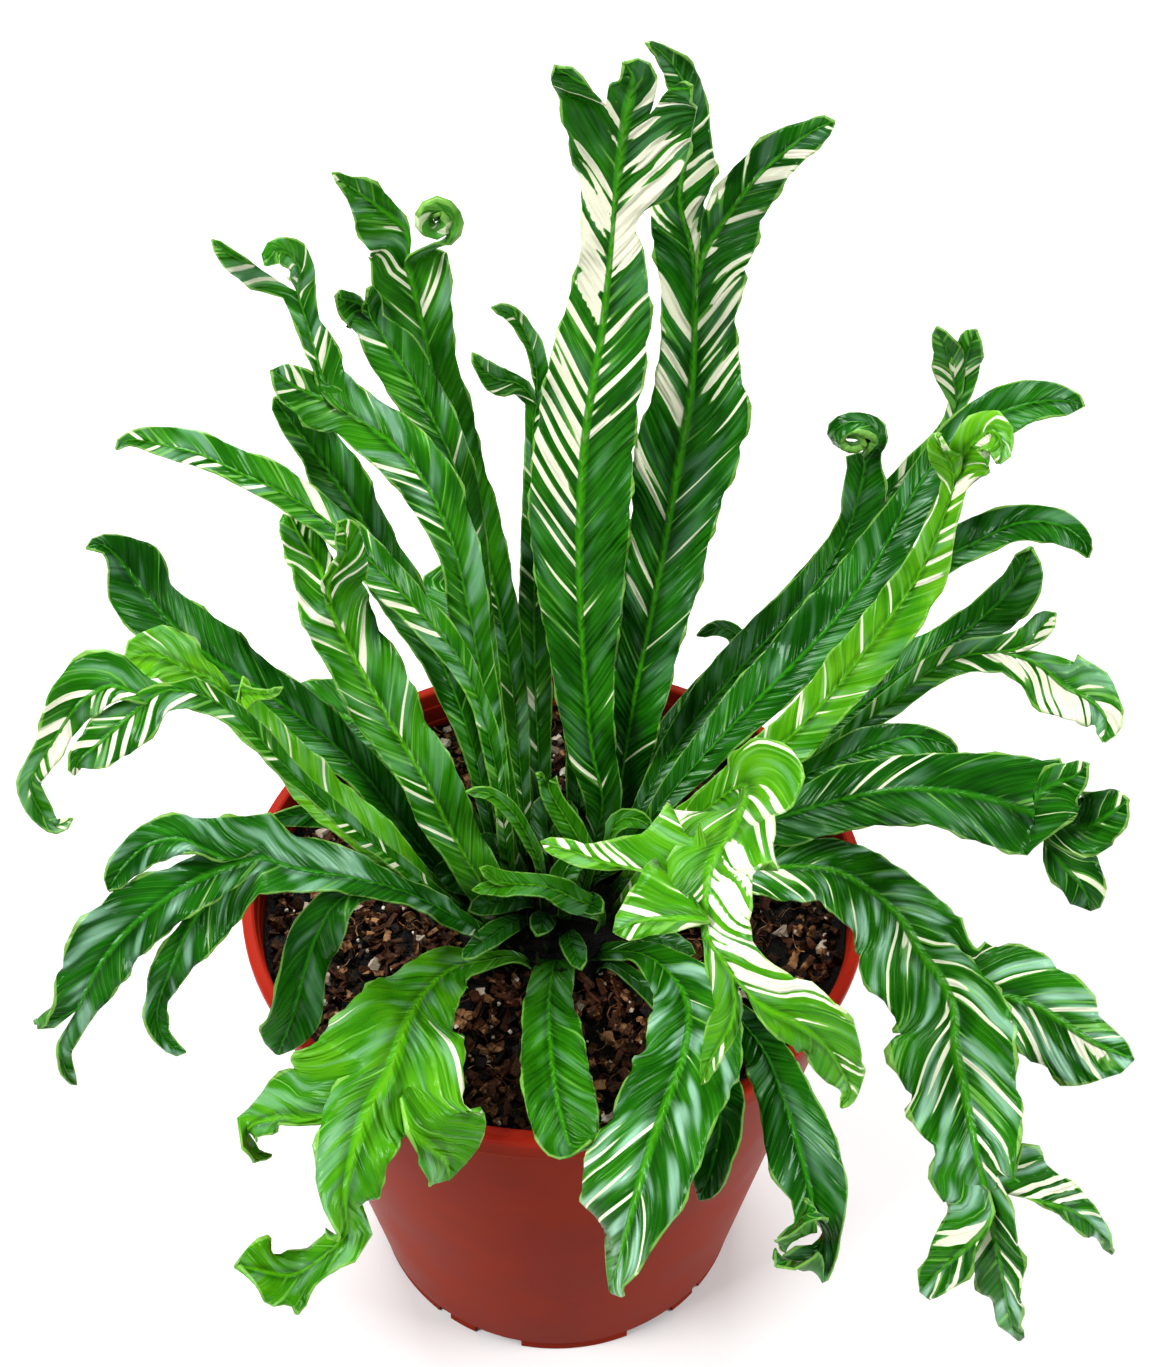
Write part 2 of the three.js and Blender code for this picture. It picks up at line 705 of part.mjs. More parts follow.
        route: [
          [552, 778, 10, 5, 5], [558, 784, 7, 2, 2],
        ],
      },
    ],
  },
  {
    name: "frond_34", heading: 176, columns: 4, reach: 1, stem: [12, -13],
    route: [
      [600, 915, -16, 8, 8], [572, 898, -18, 15, 13], [545, 887, -20, 12, 12],
      [515, 884, -22, 12, 12],
    ],
    lobes: [
      { from: 0, to: 2,
        route: [
          [502, 890, -24, 8, 8], [490, 888, -26, 8, 8], [472, 890, -28, 4, 4],
        ],
      },
      { from: 2, to: 4,
        route: [
          [500, 878, -23, 8, 8], [488, 872, -24, 7, 7], [480, 868, -25, 3, 3],
        ],
      },
    ],
  },
  {
    name: "frond_35", heading: 130, columns: 4, reach: 1, stem: [-3, -5],
    route: [
      [540, 868, -5, 5, 5], [530, 842, -4, 7, 7], [512, 812, -4, 8, 8], [490, 794, -5, 7, 7],
      [466, 792, -8, 3, 3],
    ],
  },
  {
    name: "frond_36", heading: 60, columns: 4, reach: 1, stem: [9, 5],
    route: [
      [608, 842, 7, 5, 5], [612, 828, 8, 8, 8], [624, 818, 9, 10, 10], [640, 820, 9, 9, 9],
      [652, 828, 8, 3, 3],
    ],
  },
  {
    name: "frond_37", heading: 100, columns: 4, reach: 1, stem: [1, -10],
    route: [
      [566, 905, -10, 8, 8], [562, 880, -6, 14, 14], [572, 862, -3, 12, 12], [590, 856, -1, 8, 8],
      [600, 860, 0, 3, 3],
    ],
  },
  // Fronds at the back that the photograph hides
  {
    name: "frond_38", heading: 82, columns: 4, reach: 1, stem: [8, 19],
    inMillimetres: true,
    route: [
      [9, 34, 222, 5, 5], [11, 60, 272, 10, 10], [13, 92, 304, 13, 13], [15, 124, 312, 13, 13],
      [17, 152, 298, 10, 10], [18, 168, 272, 4, 4],
    ],
  },
  {
    name: "frond_39", heading: 78, columns: 4, reach: 1, stem: [13, 34],
    inMillimetres: true,
    route: [
      [13, 48, 204, 5, 5], [20, 80, 226, 11, 11], [27, 110, 231, 14, 13], [32, 136, 216, 12, 12],
      [35, 154, 190, 4, 4],
    ],
  },
  {
    name: "frond_40", heading: 112, columns: 4, reach: 1, stem: [-13, 20],
    inMillimetres: true,
    route: [
      [-17, 42, 202, 5, 5], [-25, 72, 222, 10, 10], [-32, 98, 224, 12, 12],
      [-37, 122, 210, 11, 11], [-40, 142, 186, 4, 4],
    ],
  },
  {
    name: "frond_42", heading: 148, columns: 4, reach: 1, stem: [-21, 17],
    inMillimetres: true,
    route: [
      [-32, 26, 192, 5, 5], [-52, 40, 207, 9, 10], [-72, 54, 211, 12, 12], [-92, 68, 200, 10, 10],
      [-104, 78, 180, 4, 4],
    ],
  },
];

// Small helpers
const radians = THREE.MathUtils.degToRad;
const clamp = THREE.MathUtils.clamp;

function smoothFade(distance, length) {
  const t = clamp(distance / length, 0, 1);
  return 1 - t * t * (3 - 2 * t);
}

// The eye's own axes
const eyeForward = AIM.clone().sub(EYE).normalize();
const levelRight = eyeForward.clone().cross(new THREE.Vector3(0, 0, 1)).normalize();
const levelUp = levelRight.clone().cross(eyeForward);
const eyeRight = levelRight.clone().multiplyScalar(Math.cos(EYE_ROLL))
  .addScaledVector(levelUp, Math.sin(EYE_ROLL));
const eyeUp = levelUp.clone().multiplyScalar(Math.cos(EYE_ROLL))
  .addScaledVector(levelRight, -Math.sin(EYE_ROLL));

// The point at a given depth on the line of sight through a pixel
function sightPoint(across, down, depth) {
  const ray = eyeForward.clone()
    .addScaledVector(eyeRight, (across - VIEW_CENTER_PX[0]) / FOCAL_PX)
    .addScaledVector(eyeUp, -(down - VIEW_CENTER_PX[1]) / FOCAL_PX);
  return EYE.clone().addScaledVector(ray, (depth - EYE.y) / ray.y);
}

// Where a point is seen, in pixels
function seenAt(point) {
  const ray = point.clone().sub(EYE);
  const scale = FOCAL_PX / ray.dot(eyeForward);
  return new THREE.Vector2(ray.dot(eyeRight) * scale, -ray.dot(eyeUp) * scale);
}

// The way that the upper face of a frond looks: up, and back towards the middle and the light
function faceVector(heading) {
  const angle = radians(heading);
  return new THREE.Vector3(-0.6 * Math.cos(angle), -0.6 * Math.sin(angle) - 0.45, 0.8);
}

const SAMPLES = 12;

function smoothPoints(points) {
  const curve = new THREE.CatmullRomCurve3(points, false, "catmullrom", 0.5);
  return curve.getPoints((points.length - 1) * SAMPLES);
}

function tangentsOf(points) {
  const last = points.length - 1;
  return points.map((_, i) =>
    points[Math.min(i + 1, last)].clone().sub(points[Math.max(i - 1, 0)]).normalize());
}

function acrossTangent(vector, tangent) {
  return vector.clone().addScaledVector(tangent, -vector.dot(tangent)).normalize();
}

// Upper-face normals along a spine. On a curl they are carried along instead of facing the light.
function normalsOf(tangents, face, curl) {
  const normals = [];
  tangents.forEach((tangent, i) => {
    const source = curl && i > 0 ? normals[i - 1] : face;
    normals.push(acrossTangent(source, tangent));
  });
  return normals;
}

// A frond's spine with its frame and half widths, read by distance along it
class Spine {
  // rows: { point, left, right, roll }
  constructor(rows, face, curl) {
    this.points = smoothPoints(rows.map((row) => row.point));
    this.tangents = tangentsOf(this.points);
    const normals = normalsOf(this.tangents, face, curl);
    this.sizes = smoothPoints(rows.map((row) => new THREE.Vector3(row.left, row.right, row.roll)));
    this.normals = normals.map((normal, i) => {
      const roll = radians(this.sizes[i].z);
      const side = this.tangents[i].clone().cross(normal);
      return normal.clone().multiplyScalar(Math.cos(roll)).addScaledVector(side, Math.sin(roll));
    });
    this.distances = [0];
    for (let i = 1; i < this.points.length; i++) {
      this.distances.push(this.distances[i - 1] + this.points[i].distanceTo(this.points[i - 1]));
    }
    this.length = this.distances.at(-1);
  }

  at(distance) {
    let i = 1;
    while (i < this.distances.length - 1 && this.distances[i] < distance) i++;
    const start = this.distances[i - 1];
    const t = clamp((distance - start) / (this.distances[i] - start || 1), 0, 1);
    const between = (list) => list[i - 1].clone().lerp(list[i], t);
    const tangent = between(this.tangents).normalize();
    const normal = acrossTangent(between(this.normals), tangent);
    const size = between(this.sizes);
    return {
      point: between(this.points),
      tangent,
      normal,
      side: tangent.clone().cross(normal),
      left: Math.max(size.x, LEAST_HALF_WIDTH / 1.5),
      right: Math.max(size.y, LEAST_HALF_WIDTH / 1.5),
    };
  }
}

// How many pixels a millimetre across the blade measures, square to the frond as seen
function pixelsPerMillimetre(point, side, tangent) {
  const origin = seenAt(point);
  const along = seenAt(point.clone().add(tangent)).sub(origin).normalize();
  const across = seenAt(point.clone().add(side)).sub(origin);
  const head_on = FOCAL_PX / point.clone().sub(EYE).dot(eyeForward);
  return Math.max(Math.abs(across.cross(along)), LEAST_FORESHORTENING * head_on);
}

// Turns traced rows into rows of the real size
function measuredRows(route, before, face, curl, toDepth) {
  const points = route.map(([across, down, depth]) => sightPoint(across, down, toDepth(depth)));
  const spinePoints = smoothPoints(before ? [before, ...points] : points);
  const tangents = tangentsOf(spinePoints);
  const normals = normalsOf(tangents, face, curl);
  return route.map(([, , , left, right], i) => {
    const k = (i + (before ? 1 : 0)) * SAMPLES;
    const side = tangents[k].clone().cross(normals[k]);
    const scale = pixelsPerMillimetre(points[i], side, tangents[k]);
    return {
      point: points[i],
      left: Math.max(left / scale, LEAST_HALF_WIDTH),
      right: Math.max(right / scale, LEAST_HALF_WIDTH),
      roll: 0,
    };
  });
}

// A coil's rows: the blade on edge, wound in the plane that faces the eye
function coilRows({ center, depth, radii, turns, start, halfWidth }, toDepth) {
  const count = Math.floor(turns * 8);
  const rows = [];
  for (let i = 0; i <= count; i++) {
    const angle = radians(start + 45 * i);
    const shrink = 1 - (0.68 * i) / count;
    const across = center[0] + radii[0] * shrink * Math.cos(angle);
    const down = center[1] - radii[1] * shrink * Math.sin(angle);
    const width = halfWidth * (1 - (0.35 * i) / count);
    const point = sightPoint(across, down, toDepth(depth));
    rows.push({ point, left: width, right: width, roll: i > 0 ? 90 : 60 });
  }
  return rows;
}

function measureLobe(lobe, parentRows, face, toDepth) {
  const before = parentRows.at(-1).point;
  const rows = measuredRows(lobe.route, before, face, lobe.curl, toDepth);
  if (lobe.coil) rows.push(...coilRows(lobe.coil, toDepth));
  const lobes = (lobe.lobes ?? []).map((next) => measureLobe(next, rows, face, toDepth));
  return { ...lobe, rows, lobes };
}

function measureFrond(frond) {
  const face = faceVector(frond.heading);
  const firstDepth = frond.route[0][2];
  const toDepth = (depth) => firstDepth + (depth - firstDepth) * frond.reach;
  const rows = frond.inMillimetres
    ? frond.route.map(([x, y, z, left, right]) => (
      { point: new THREE.Vector3(x, y, z), left, right, roll: 0 }))
    : measuredRows(frond.route, null, face, false, toDepth);
  const width = clamp(0.375 * (rows[0].left + rows[0].right), 1.8, 3);
  const foot = new THREE.Vector3(frond.stem[0], frond.stem[1], STEM_FOOT);
  rows.unshift({ point: foot, left: width, right: width, roll: 0 });
  const lobes = (frond.lobes ?? []).map((lobe) => measureLobe(lobe, rows, face, toDepth));
  return { ...frond, rows, lobes, face };
}

// Shifts the waves of one frond against those of the next
function wavePhase(name) {
  const digits = [...name.slice(-2)].reduce((sum, digit) => sum + Number(digit), 0);
  return 0.37 + 0.7 * digits;
}

// The mid-surface of a blade: rows of points across it, cupped, with waved margins
function bladeRow(frame, distance, columns, phase, clearance) {
  const widest = Math.max(frame.left, frame.right);
  const ramp = clamp(distance / 25, 0, 1) * clamp(widest / 10, 0.15, 1);
  const points = [];
  for (let j = 0; j <= columns; j++) {
    const u = (2 * j) / columns - 1;
    const offset = u * (u < 0 ? frame.left : frame.right);
    const turn = (2 * Math.PI * distance) / WAVE_LENGTH + phase + (u < 0 ? 0 : WAVE_SHIFT_ACROSS);
    const lift = CUPPING * Math.abs(offset) * Math.sqrt(Math.abs(u))
      + WAVE_HEIGHT * u * u * Math.sin(turn) * ramp;
    points.push(frame.point.clone()
      .addScaledVector(frame.side, offset + Math.sign(u) * clearance)
      .addScaledVector(frame.normal, lift));
  }
  return points;
}

// Closed blade: the mid-surface given thickness, with a midrib below
class BladeMesh {
  constructor(clearance = 0) {
    this.clearance = clearance;
    this.middles = [];
    this.normals = [];
    this.ribs = [];
    this.quads = [];
    this.edges = [];
  }

  add(point, normal, rib) {
    this.middles.push(point);
    this.normals.push(normal);
    this.ribs.push(rib);
    return this.middles.length - 1;
  }

  addRow(points, normal) {
    const columns = points.length - 1;
    const width = points[0].distanceTo(points[columns]);
    const rib = MIDRIB * Math.min(1, width / 14);
    return points.map((point, j) => this.add(point, normal, 2 * j === columns ? rib : 0));
  }

  // The strips between two rows of indices, and the two margins beside them
  join(row, next) {
    const columns = row.length - 1;
    for (let j = 0; j < columns; j++) {
      this.quads.push([row[j], row[j + 1], next[j + 1], next[j]]);
    }
    this.edges.push([next[0], row[0]], [row[columns], next[columns]]);
  }

  closeStart(row) {
    for (let j = 0; j < row.length - 1; j++) this.edges.push([row[j], row[j + 1]]);
  }

  closeEnd(row) {
    for (let j = 0; j < row.length - 1; j++) this.edges.push([row[j + 1], row[j]]);
  }

  toGeometry() {
    const n = this.middles.length;
    const half = BLADE / 2 + this.clearance;
    const positions = [];
    this.middles.forEach((point, i) => {
      positions.push(...point.clone().addScaledVector(this.normals[i], half).toArray());
    });
    this.middles.forEach((point, i) => {
      const below = -(half + this.ribs[i]);
      positions.push(...point.clone().addScaledVector(this.normals[i], below).toArray());
    });
    const index = [];
    for (const [a, b, c, d] of this.quads) {
      index.push(a, b, c, a, c, d);
      index.push(a + n, c + n, b + n, a + n, d + n, c + n);
    }
    for (const [a, b] of this.edges) index.push(b, a, a + n, b, a + n, b + n);
    const geometry = new THREE.BufferGeometry();
    geometry.setAttribute("position", new THREE.Float32BufferAttribute(positions, 3));
    geometry.setIndex(index);
    return geometry;
  }
}

// Adds a blade and, at its fork, its lobes, which share the fork's row of points
function growBlade(mesh, blade, face, sharedRow, columns, start, phase) {
  const spine = new Spine(blade.rows, face, blade.curl);
  const steps = Math.max(2, Math.round(spine.length / ROW_SPACING));
  let row = sharedRow;
  let corrections = null;
  for (let i = 0; i <= steps; i++) {
    const distance = (spine.length * i) / steps;
    const frame = spine.at(distance);
    const turn = phase + (2 * Math.PI * start) / WAVE_LENGTH;
    const points = bladeRow(frame, distance, columns, turn, 0);
    if (i === 0 && sharedRow) {
      corrections = sharedRow.map((index, j) => mesh.middles[index].clone().sub(points[j]));
      continue;
    }
    if (corrections) {
      const fade = smoothFade(distance, FORK_BLEND);
      points.forEach((point, j) => point.addScaledVector(corrections[j], fade));
    }
    const next = mesh.addRow(points, frame.normal);
    if (i === 0) mesh.closeStart(next);
    else mesh.join(row, next);
    row = next;
  }
  if (!blade.lobes.length) mesh.closeEnd(row);
  for (const lobe of blade.lobes) {
    const shared = row.slice(lobe.from, lobe.to + 1);
    const middle = mesh.middles[shared[(shared.length - 1) >> 1]];
    const firstRow = {
      point: middle.clone(),
      left: Math.max(mesh.middles[shared[0]].distanceTo(middle), 0.8),
      right: Math.max(mesh.middles[shared.at(-1)].distanceTo(middle), 0.8),
      roll: 0,
    };
    const lobeFace = lobe.curl ? spine.normals.at(-1) : face;
    const grown = { ...lobe, rows: [firstRow, ...lobe.rows] };
    growBlade(mesh, grown, lobeFace, shared, lobe.to - lobe.from, start + spine.length, phase);
  }
}

function frondGeometry(frond) {
  const mesh = new BladeMesh();
  growBlade(mesh, frond, frond.face, null, frond.columns, 0, wavePhase(frond.name));
  return mesh.toGeometry();
}

// The room that a stem takes in the crown: its lowest rows, grown by the clearance
function socketGeometry(frond) {
  const mesh = new BladeMesh(CLEARANCE);
  const spine = new Spine(frond.rows, frond.face, false);
  const steps = Math.max(2, Math.round(spine.length / ROW_SPACING));
  let row = null;
  for (let i = 0; i <= steps; i++) {
    const distance = (spine.length * i) / steps;
    const frame = spine.at(distance);
    if (i === 0) frame.point.addScaledVector(frame.tangent, -CLEARANCE);
    const phase = wavePhase(frond.name);
    const points = bladeRow(frame, distance, 2, phase, CLEARANCE);
    const next = mesh.addRow(points, frame.normal);
    if (i === 0) mesh.closeStart(next);
    else mesh.join(row, next);
    row = next;
    const { x, y, z } = frame.point;
    if (z > SOCKET_TOP || Math.hypot(x, y) > SOCKET_REACH) break;
  }
  mesh.closeEnd(row);
  return mesh.toGeometry();
}

// Solids from closed geometries, and back
function toSolid(geometry) {
  const bare = new THREE.BufferGeometry();
  bare.setAttribute("position", geometry.getAttribute("position"));
  bare.setIndex(geometry.index);
  const merged = mergeVertices(bare, 1e-4);
  const triangles = [];
  for (let i = 0; i < merged.index.count; i += 3) {
    const [a, b, c] = [0, 1, 2].map((k) => merged.index.getX(i + k));
    if (a !== b && b !== c && c !== a) triangles.push(a, b, c);
  }
  const vertProperties = new Float32Array(merged.getAttribute("position").array);
  const build = () => new wasm.Manifold(new wasm.Mesh({
    numProp: 3, vertProperties, triVerts: new Uint32Array(triangles),
  }));
  let solid = build();
  if (solid.volume() < 0) {
    for (let i = 0; i < triangles.length; i += 3) {
      [triangles[i + 1], triangles[i + 2]] = [triangles[i + 2], triangles[i + 1]];
    }
    solid = build();
  }
  return solid;
}

function toGeometry(solid) {
  const { vertProperties, triVerts, numProp } = solid.getMesh();
  const positions = new Float32Array((vertProperties.length / numProp) * 3);
  for (let i = 0; i < positions.length / 3; i++) {
    positions.set(vertProperties.subarray(i * numProp, i * numProp + 3), i * 3);
  }
  const geometry = new THREE.BufferGeometry();
  geometry.setAttribute("position", new THREE.BufferAttribute(positions, 3));
  geometry.setIndex(new THREE.BufferAttribute(triVerts, 1));
  return geometry;
}

// The largest body of a solid: cuts that meet can leave a loose sliver behind
function largestBody(solid) {
  return solid.decompose().reduce((best, body) => (body.volume() > best.volume() ? body : best));
}

// A turned solid around Z, from [radius, height] points that start and end on the axis
function turned(profile, segments) {
  const points = profile.map(([radius, height]) => new THREE.Vector2(radius, height));
  return new THREE.LatheGeometry(points, segments).rotateX(Math.PI / 2);
}

// Pot: a tapered wall with a stepped collar and a rolled rim, on a ring of feet
function wallRadius(height) {
  const rise = (height - FOOT_HEIGHT) / (POT_HEIGHT - COLLAR_HEIGHT - FOOT_HEIGHT);
  return BASE_RADIUS + (RIM_RADIUS - 3.4 - BASE_RADIUS) * rise;
}

function potProfile() {
  const floorTop = FOOT_HEIGHT + FLOOR;
  const collar = POT_HEIGHT - COLLAR_HEIGHT;
  const lip = POT_HEIGHT - RIM_LIP_HEIGHT;
  return [
    [0, FOOT_HEIGHT],
    [BASE_RADIUS, FOOT_HEIGHT],
    [wallRadius(collar), collar],
    [wallRadius(collar) + COLLAR_STEP, collar + 0.7],
    [RIM_RADIUS - 1.3, lip],
    [RIM_RADIUS, lip + 0.4],
    [RIM_RADIUS, POT_HEIGHT - 1],
    [RIM_RADIUS - 1.1, POT_HEIGHT],
    [RIM_INNER_RADIUS + 1, POT_HEIGHT],
    [RIM_INNER_RADIUS, POT_HEIGHT - 1.2],
    [RIM_INNER_RADIUS - 0.3, POT_HEIGHT - 6],
    [wallRadius(collar) - WALL, collar],
    [wallRadius(floorTop) - WALL, floorTop],
    [0, floorTop],
  ];
}

function footGeometry(first, last) {
  const outer = BASE_RADIUS - FOOT_INSET;
  const inner = outer - FOOT_THICKNESS;
  const shape = new THREE.Shape();
  shape.absarc(0, 0, outer, radians(first), radians(last), false);
  shape.absarc(0, 0, inner, radians(last), radians(first), true);
  shape.closePath();
  const overlap = 0.5;
  return new THREE.ExtrudeGeometry(shape, {
    depth: FOOT_HEIGHT + overlap, bevelEnabled: false, curveSegments: 3,
  });
}

function buildPot() {
  let pot = toSolid(turned(potProfile(), POT_SEGMENTS));
  for (let third = 0; third < 360; third += FEET_PERIOD) {
    const middle = third - 90 + FEET_TURN;
    for (const [first, last] of FEET) {
      pot = pot.add(toSolid(footGeometry(middle + first, middle + last)));
    }
  }
  const drill = new THREE.CylinderGeometry(DRAIN_HOLE_RADIUS, DRAIN_HOLE_RADIUS, 4 * FLOOR, 12);
  drill.rotateX(Math.PI / 2).translate(0, 0, FOOT_HEIGHT + FLOOR / 2);
  pot = pot.subtract(toSolid(drill));
  for (let i = 0; i < DRAIN_HOLES; i++) {
    const angle = (2 * Math.PI * i) / DRAIN_HOLES;
    const hole = drill.clone().translate(
      DRAIN_HOLE_CIRCLE * Math.cos(angle), DRAIN_HOLE_CIRCLE * Math.sin(angle), 0);
    pot = pot.subtract(toSolid(hole));
  }
  return toGeometry(pot);
}

// Crown: the short scaly rootstock in the middle, a low dome with a socket for each stem
function crownProfile(clearance) {
  const radius = CROWN_RADIUS + clearance;
  return [
    [0, CROWN_BOTTOM - clearance],
    [0.4 * radius, CROWN_BOTTOM + 3 - clearance],
    [0.68 * radius, CROWN_BOTTOM + 14],
    [0.88 * radius, CROWN_BOTTOM + 28],
    [radius, SOIL_LEVEL - 8],
    [radius, SOIL_LEVEL - 1],
    [0.93 * radius, SOIL_LEVEL + 2],
    [0.8 * radius, CROWN_TOP - 1.5],
    [0.5 * radius, CROWN_TOP],
    [0, CROWN_TOP + 0.5],
  ];
}

function crownSolid(clearance) {
  return toSolid(turned(crownProfile(clearance), 24)
    .translate(CROWN_CENTER[0], CROWN_CENTER[1], 0));
}

// Potting mix: fills the pot to just under the rim, with an uneven top
function soilBump(x, y) {
  return SOIL_ROUGHNESS * (0.6 * Math.sin(0.31 * x + 1) * Math.cos(0.27 * y)
    + 0.4 * Math.sin(0.11 * x - 0.17 * y));
}

function soilSolid() {
  const bottom = FOOT_HEIGHT + FLOOR + CLEARANCE;
  const collar = POT_HEIGHT - COLLAR_HEIGHT;
  const inside = (height) => wallRadius(height) - WALL - CLEARANCE;
  const topRadii = [95, 84, 72, 60, 48, 34, 18, 0];
  const profile = [
    [0, bottom],
    [inside(bottom), bottom],
    [inside(collar - 1.5), collar - 1.5 - 0.4],
    ...topRadii.map((radius) => [radius, SOIL_LEVEL]),
  ];
  const geometry = turned(profile, 40);
  const positions = geometry.getAttribute("position");
  for (let i = 0; i < positions.count; i++) {
    const [x, y, z] = [positions.getX(i), positions.getY(i), positions.getZ(i)];
    if (Math.abs(z - SOIL_LEVEL) < 0.01 && Math.hypot(x, y) < 94.9) {
      positions.setZ(i, SOIL_LEVEL + soilBump(x, y));
    }
  }
  return toSolid(geometry);
}

// Assembly: the plant stands in its own group, which is then centred on the ground it covers
const fern = new THREE.Group();
const plant = new THREE.Group();
fern.add(plant);

function addPiece(name, geometry, color, roughness) {
  const material = new THREE.MeshStandardMaterial({ color, roughness, metalness: 0 });
  geometry.computeVertexNormals();
  const piece = new THREE.Mesh(geometry, material);
  piece.name = name;
  plant.add(piece);
}

const fronds = FRONDS.map(measureFrond);
let sockets = toSolid(socketGeometry(fronds[0]));
for (const frond of fronds.slice(1)) sockets = sockets.add(toSolid(socketGeometry(frond)));

addPiece("pot", buildPot(), TERRACOTTA, 0.45);
addPiece("potting_mix",
  toGeometry(largestBody(soilSolid().subtract(crownSolid(CLEARANCE)).subtract(sockets))),
  BARK_BROWN, 0.95);
addPiece("crown",
  toGeometry(largestBody(crownSolid(0).subtract(sockets))), CROWN_BROWN, 0.9);
for (const frond of fronds) {
  addPiece(frond.name, frondGeometry(frond), LEAF_GREEN, 0.35);
}

const spread = new THREE.Box3().setFromObject(plant).getCenter(new THREE.Vector3());
plant.position.set(-spread.x, -spread.y, 0);

export default fern;
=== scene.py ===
# Looks of a potted bird's nest fern with crested, wavy, cream-striped fronds, built around its
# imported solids. Scene units are metres, +Z up. Sizes in the tables below are in millimetres from
# the pot's axis and the ground under its feet.
import math
import random

import bmesh
import bpy
import numpy as np
from mathutils import Matrix, Vector


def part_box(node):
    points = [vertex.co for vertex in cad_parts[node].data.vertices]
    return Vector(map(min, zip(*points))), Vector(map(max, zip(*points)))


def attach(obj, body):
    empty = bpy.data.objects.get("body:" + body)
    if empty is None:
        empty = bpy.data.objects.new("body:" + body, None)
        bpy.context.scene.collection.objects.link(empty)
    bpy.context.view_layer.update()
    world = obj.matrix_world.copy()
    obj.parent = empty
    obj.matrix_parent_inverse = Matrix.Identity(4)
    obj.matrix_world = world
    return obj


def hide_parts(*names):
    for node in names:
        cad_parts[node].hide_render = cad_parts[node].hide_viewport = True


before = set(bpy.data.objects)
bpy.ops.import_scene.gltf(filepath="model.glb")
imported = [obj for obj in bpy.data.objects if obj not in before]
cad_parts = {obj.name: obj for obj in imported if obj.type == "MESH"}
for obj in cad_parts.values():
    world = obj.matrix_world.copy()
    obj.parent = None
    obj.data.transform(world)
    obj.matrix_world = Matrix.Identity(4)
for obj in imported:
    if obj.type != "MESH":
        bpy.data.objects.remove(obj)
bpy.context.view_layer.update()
bpy.ops.object.select_all(action="DESELECT")

MM = 0.001
ROOT = "root"

# The pot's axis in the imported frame, which is centred on the area that the fronds cover
pot_low, pot_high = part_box("pot")
AXIS = np.array([(pot_low.x + pot_high.x) / 2, (pot_low.y + pot_high.y) / 2, 0.0])

# Pot
POT_HEIGHT = 187
RIM_RADIUS = 105
RIM_INNER_RADIUS = 100.6
RIM_LIP_HEIGHT = 4
COLLAR_HEIGHT = 13.5
COLLAR_STEP = 0.9
# Height of the painted highlight line along the collar's step
COLLAR_HIGHLIGHT_HEIGHT = POT_HEIGHT - COLLAR_HEIGHT + 0.2
WALL_TOP_RADIUS = RIM_RADIUS - 3.4
BASE_RADIUS = 71
WALL = 2
FLOOR = 2.5
FOOT_HEIGHT = 5
FOOT_THICKNESS = 2.6
FOOT_INSET = 0.7
FEET_TURN = 5
FEET = [(-16.5, 16.5), (32, 41), (45, 75), (79, 88)]
FEET_PERIOD = 120
DRAIN_HOLE_RADIUS = 4.5
DRAIN_HOLE_CIRCLE = 52
DRAIN_HOLES = 6
POT_SEGMENTS = 240
POT_EDGE_ROUNDING = 0.35

# Potting mix and crown
SOIL_LEVEL = 172
SOIL_TOP_RADIUS = 95
SOIL_RING = 3.4
SOIL_RINGS = 26
SOIL_CLEARANCE = 0.3
CHIP_KINDS = 7
CHIP_CUT = 0.42
CROWN_CENTER = (0, 2)
CROWN_RADIUS = 37.5
CROWN_TOP = 177.5
CROWN_BOTTOM = 128

# Blades
BLADE = 0.7
COIL_BLADE = 2.5
MIDRIB_BELOW = 0.9
MIDRIB_ABOVE = 0.35
MIDRIB_SPREAD = 0.9
MIDRIB_STRIP = 1.1
FACE_BACK = 0.6
FACE_TO_EYE = 0.45
FACE_UP = 0.8
STEM_FOOT = 167
STEM_SHARE = 0.375
STEM_HALF_WIDTHS = (1.8, 3)
CUPPING = 0.16
WAVE_HEIGHT = 2.2
WAVE_LENGTH = 38
WAVE_SHIFT_ACROSS = 1.9
FLAT_FOOT_LENGTH = 25
FULL_WAVE_HALF_WIDTH = 10
RUFFLE_LENGTH = 2.7
FRILL = 0.045
FRILL_LENGTHS = (1.9, 5.3, 3.1)
CREST_LENGTH = 15
ROW_SPACING = 2.6
SPINE_STEPS = 12
TIP_ROUNDING = 1.5
TIP_LEAST = 0.12
FORK_BLEND = 20
FORK_SEAM = 5
RIB_BRANCH = 42
VEIN_SLOPE = 1.35
VEIN_CURVE = 0.012
# Stretch along a blade, in mm, over which the painted shade at its foot fades out
FOOT_SHADE_FADE = (6, 60)
PATCH_ALONG = 1.1
PATCH_ACROSS = 1.3
PATCH_FADE = (0.2, 1.9)
PATCH_REACH = (2.0, 3.4)
PATTERN_SHIFT = 137
MM_PER_PX = 0.345
LEAST_HALF_WIDTH = 1.2
LEAST_BETWEEN_ROWS = LEAST_HALF_WIDTH / 1.5
LEAST_FORK_HALF_WIDTH = 0.8
COIL_STEPS = 8
COIL_SHRINK = 0.68
COIL_NARROWING = 0.35
FINE_STRIPS = {2: 8, 4: 5, 6: 4, 8: 3}

# The fronds up to the number 42 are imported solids, the crown's small leaves count on from 51
LAST_PACKED = 42
FIRST_SMALL_LEAF = 51
SMALL_LEAVES = 18

# The eye that the frond routes below were read with: a route's row is a pixel of that view and
# the depth (y, mm) at which its line of sight meets the frond's midrib.
EYE = np.array([-5.7, -447.5, 695.5])
AIM = np.array([6.65, 0, 276.1])
EYE_ROLL = 0.004
FOCAL_PX = 2000
VIEW_CENTER_PX = (575.5, 683.5)
VIEW_HEIGHT_PX = 1367
LEAST_FORESHORTENING = 0.42

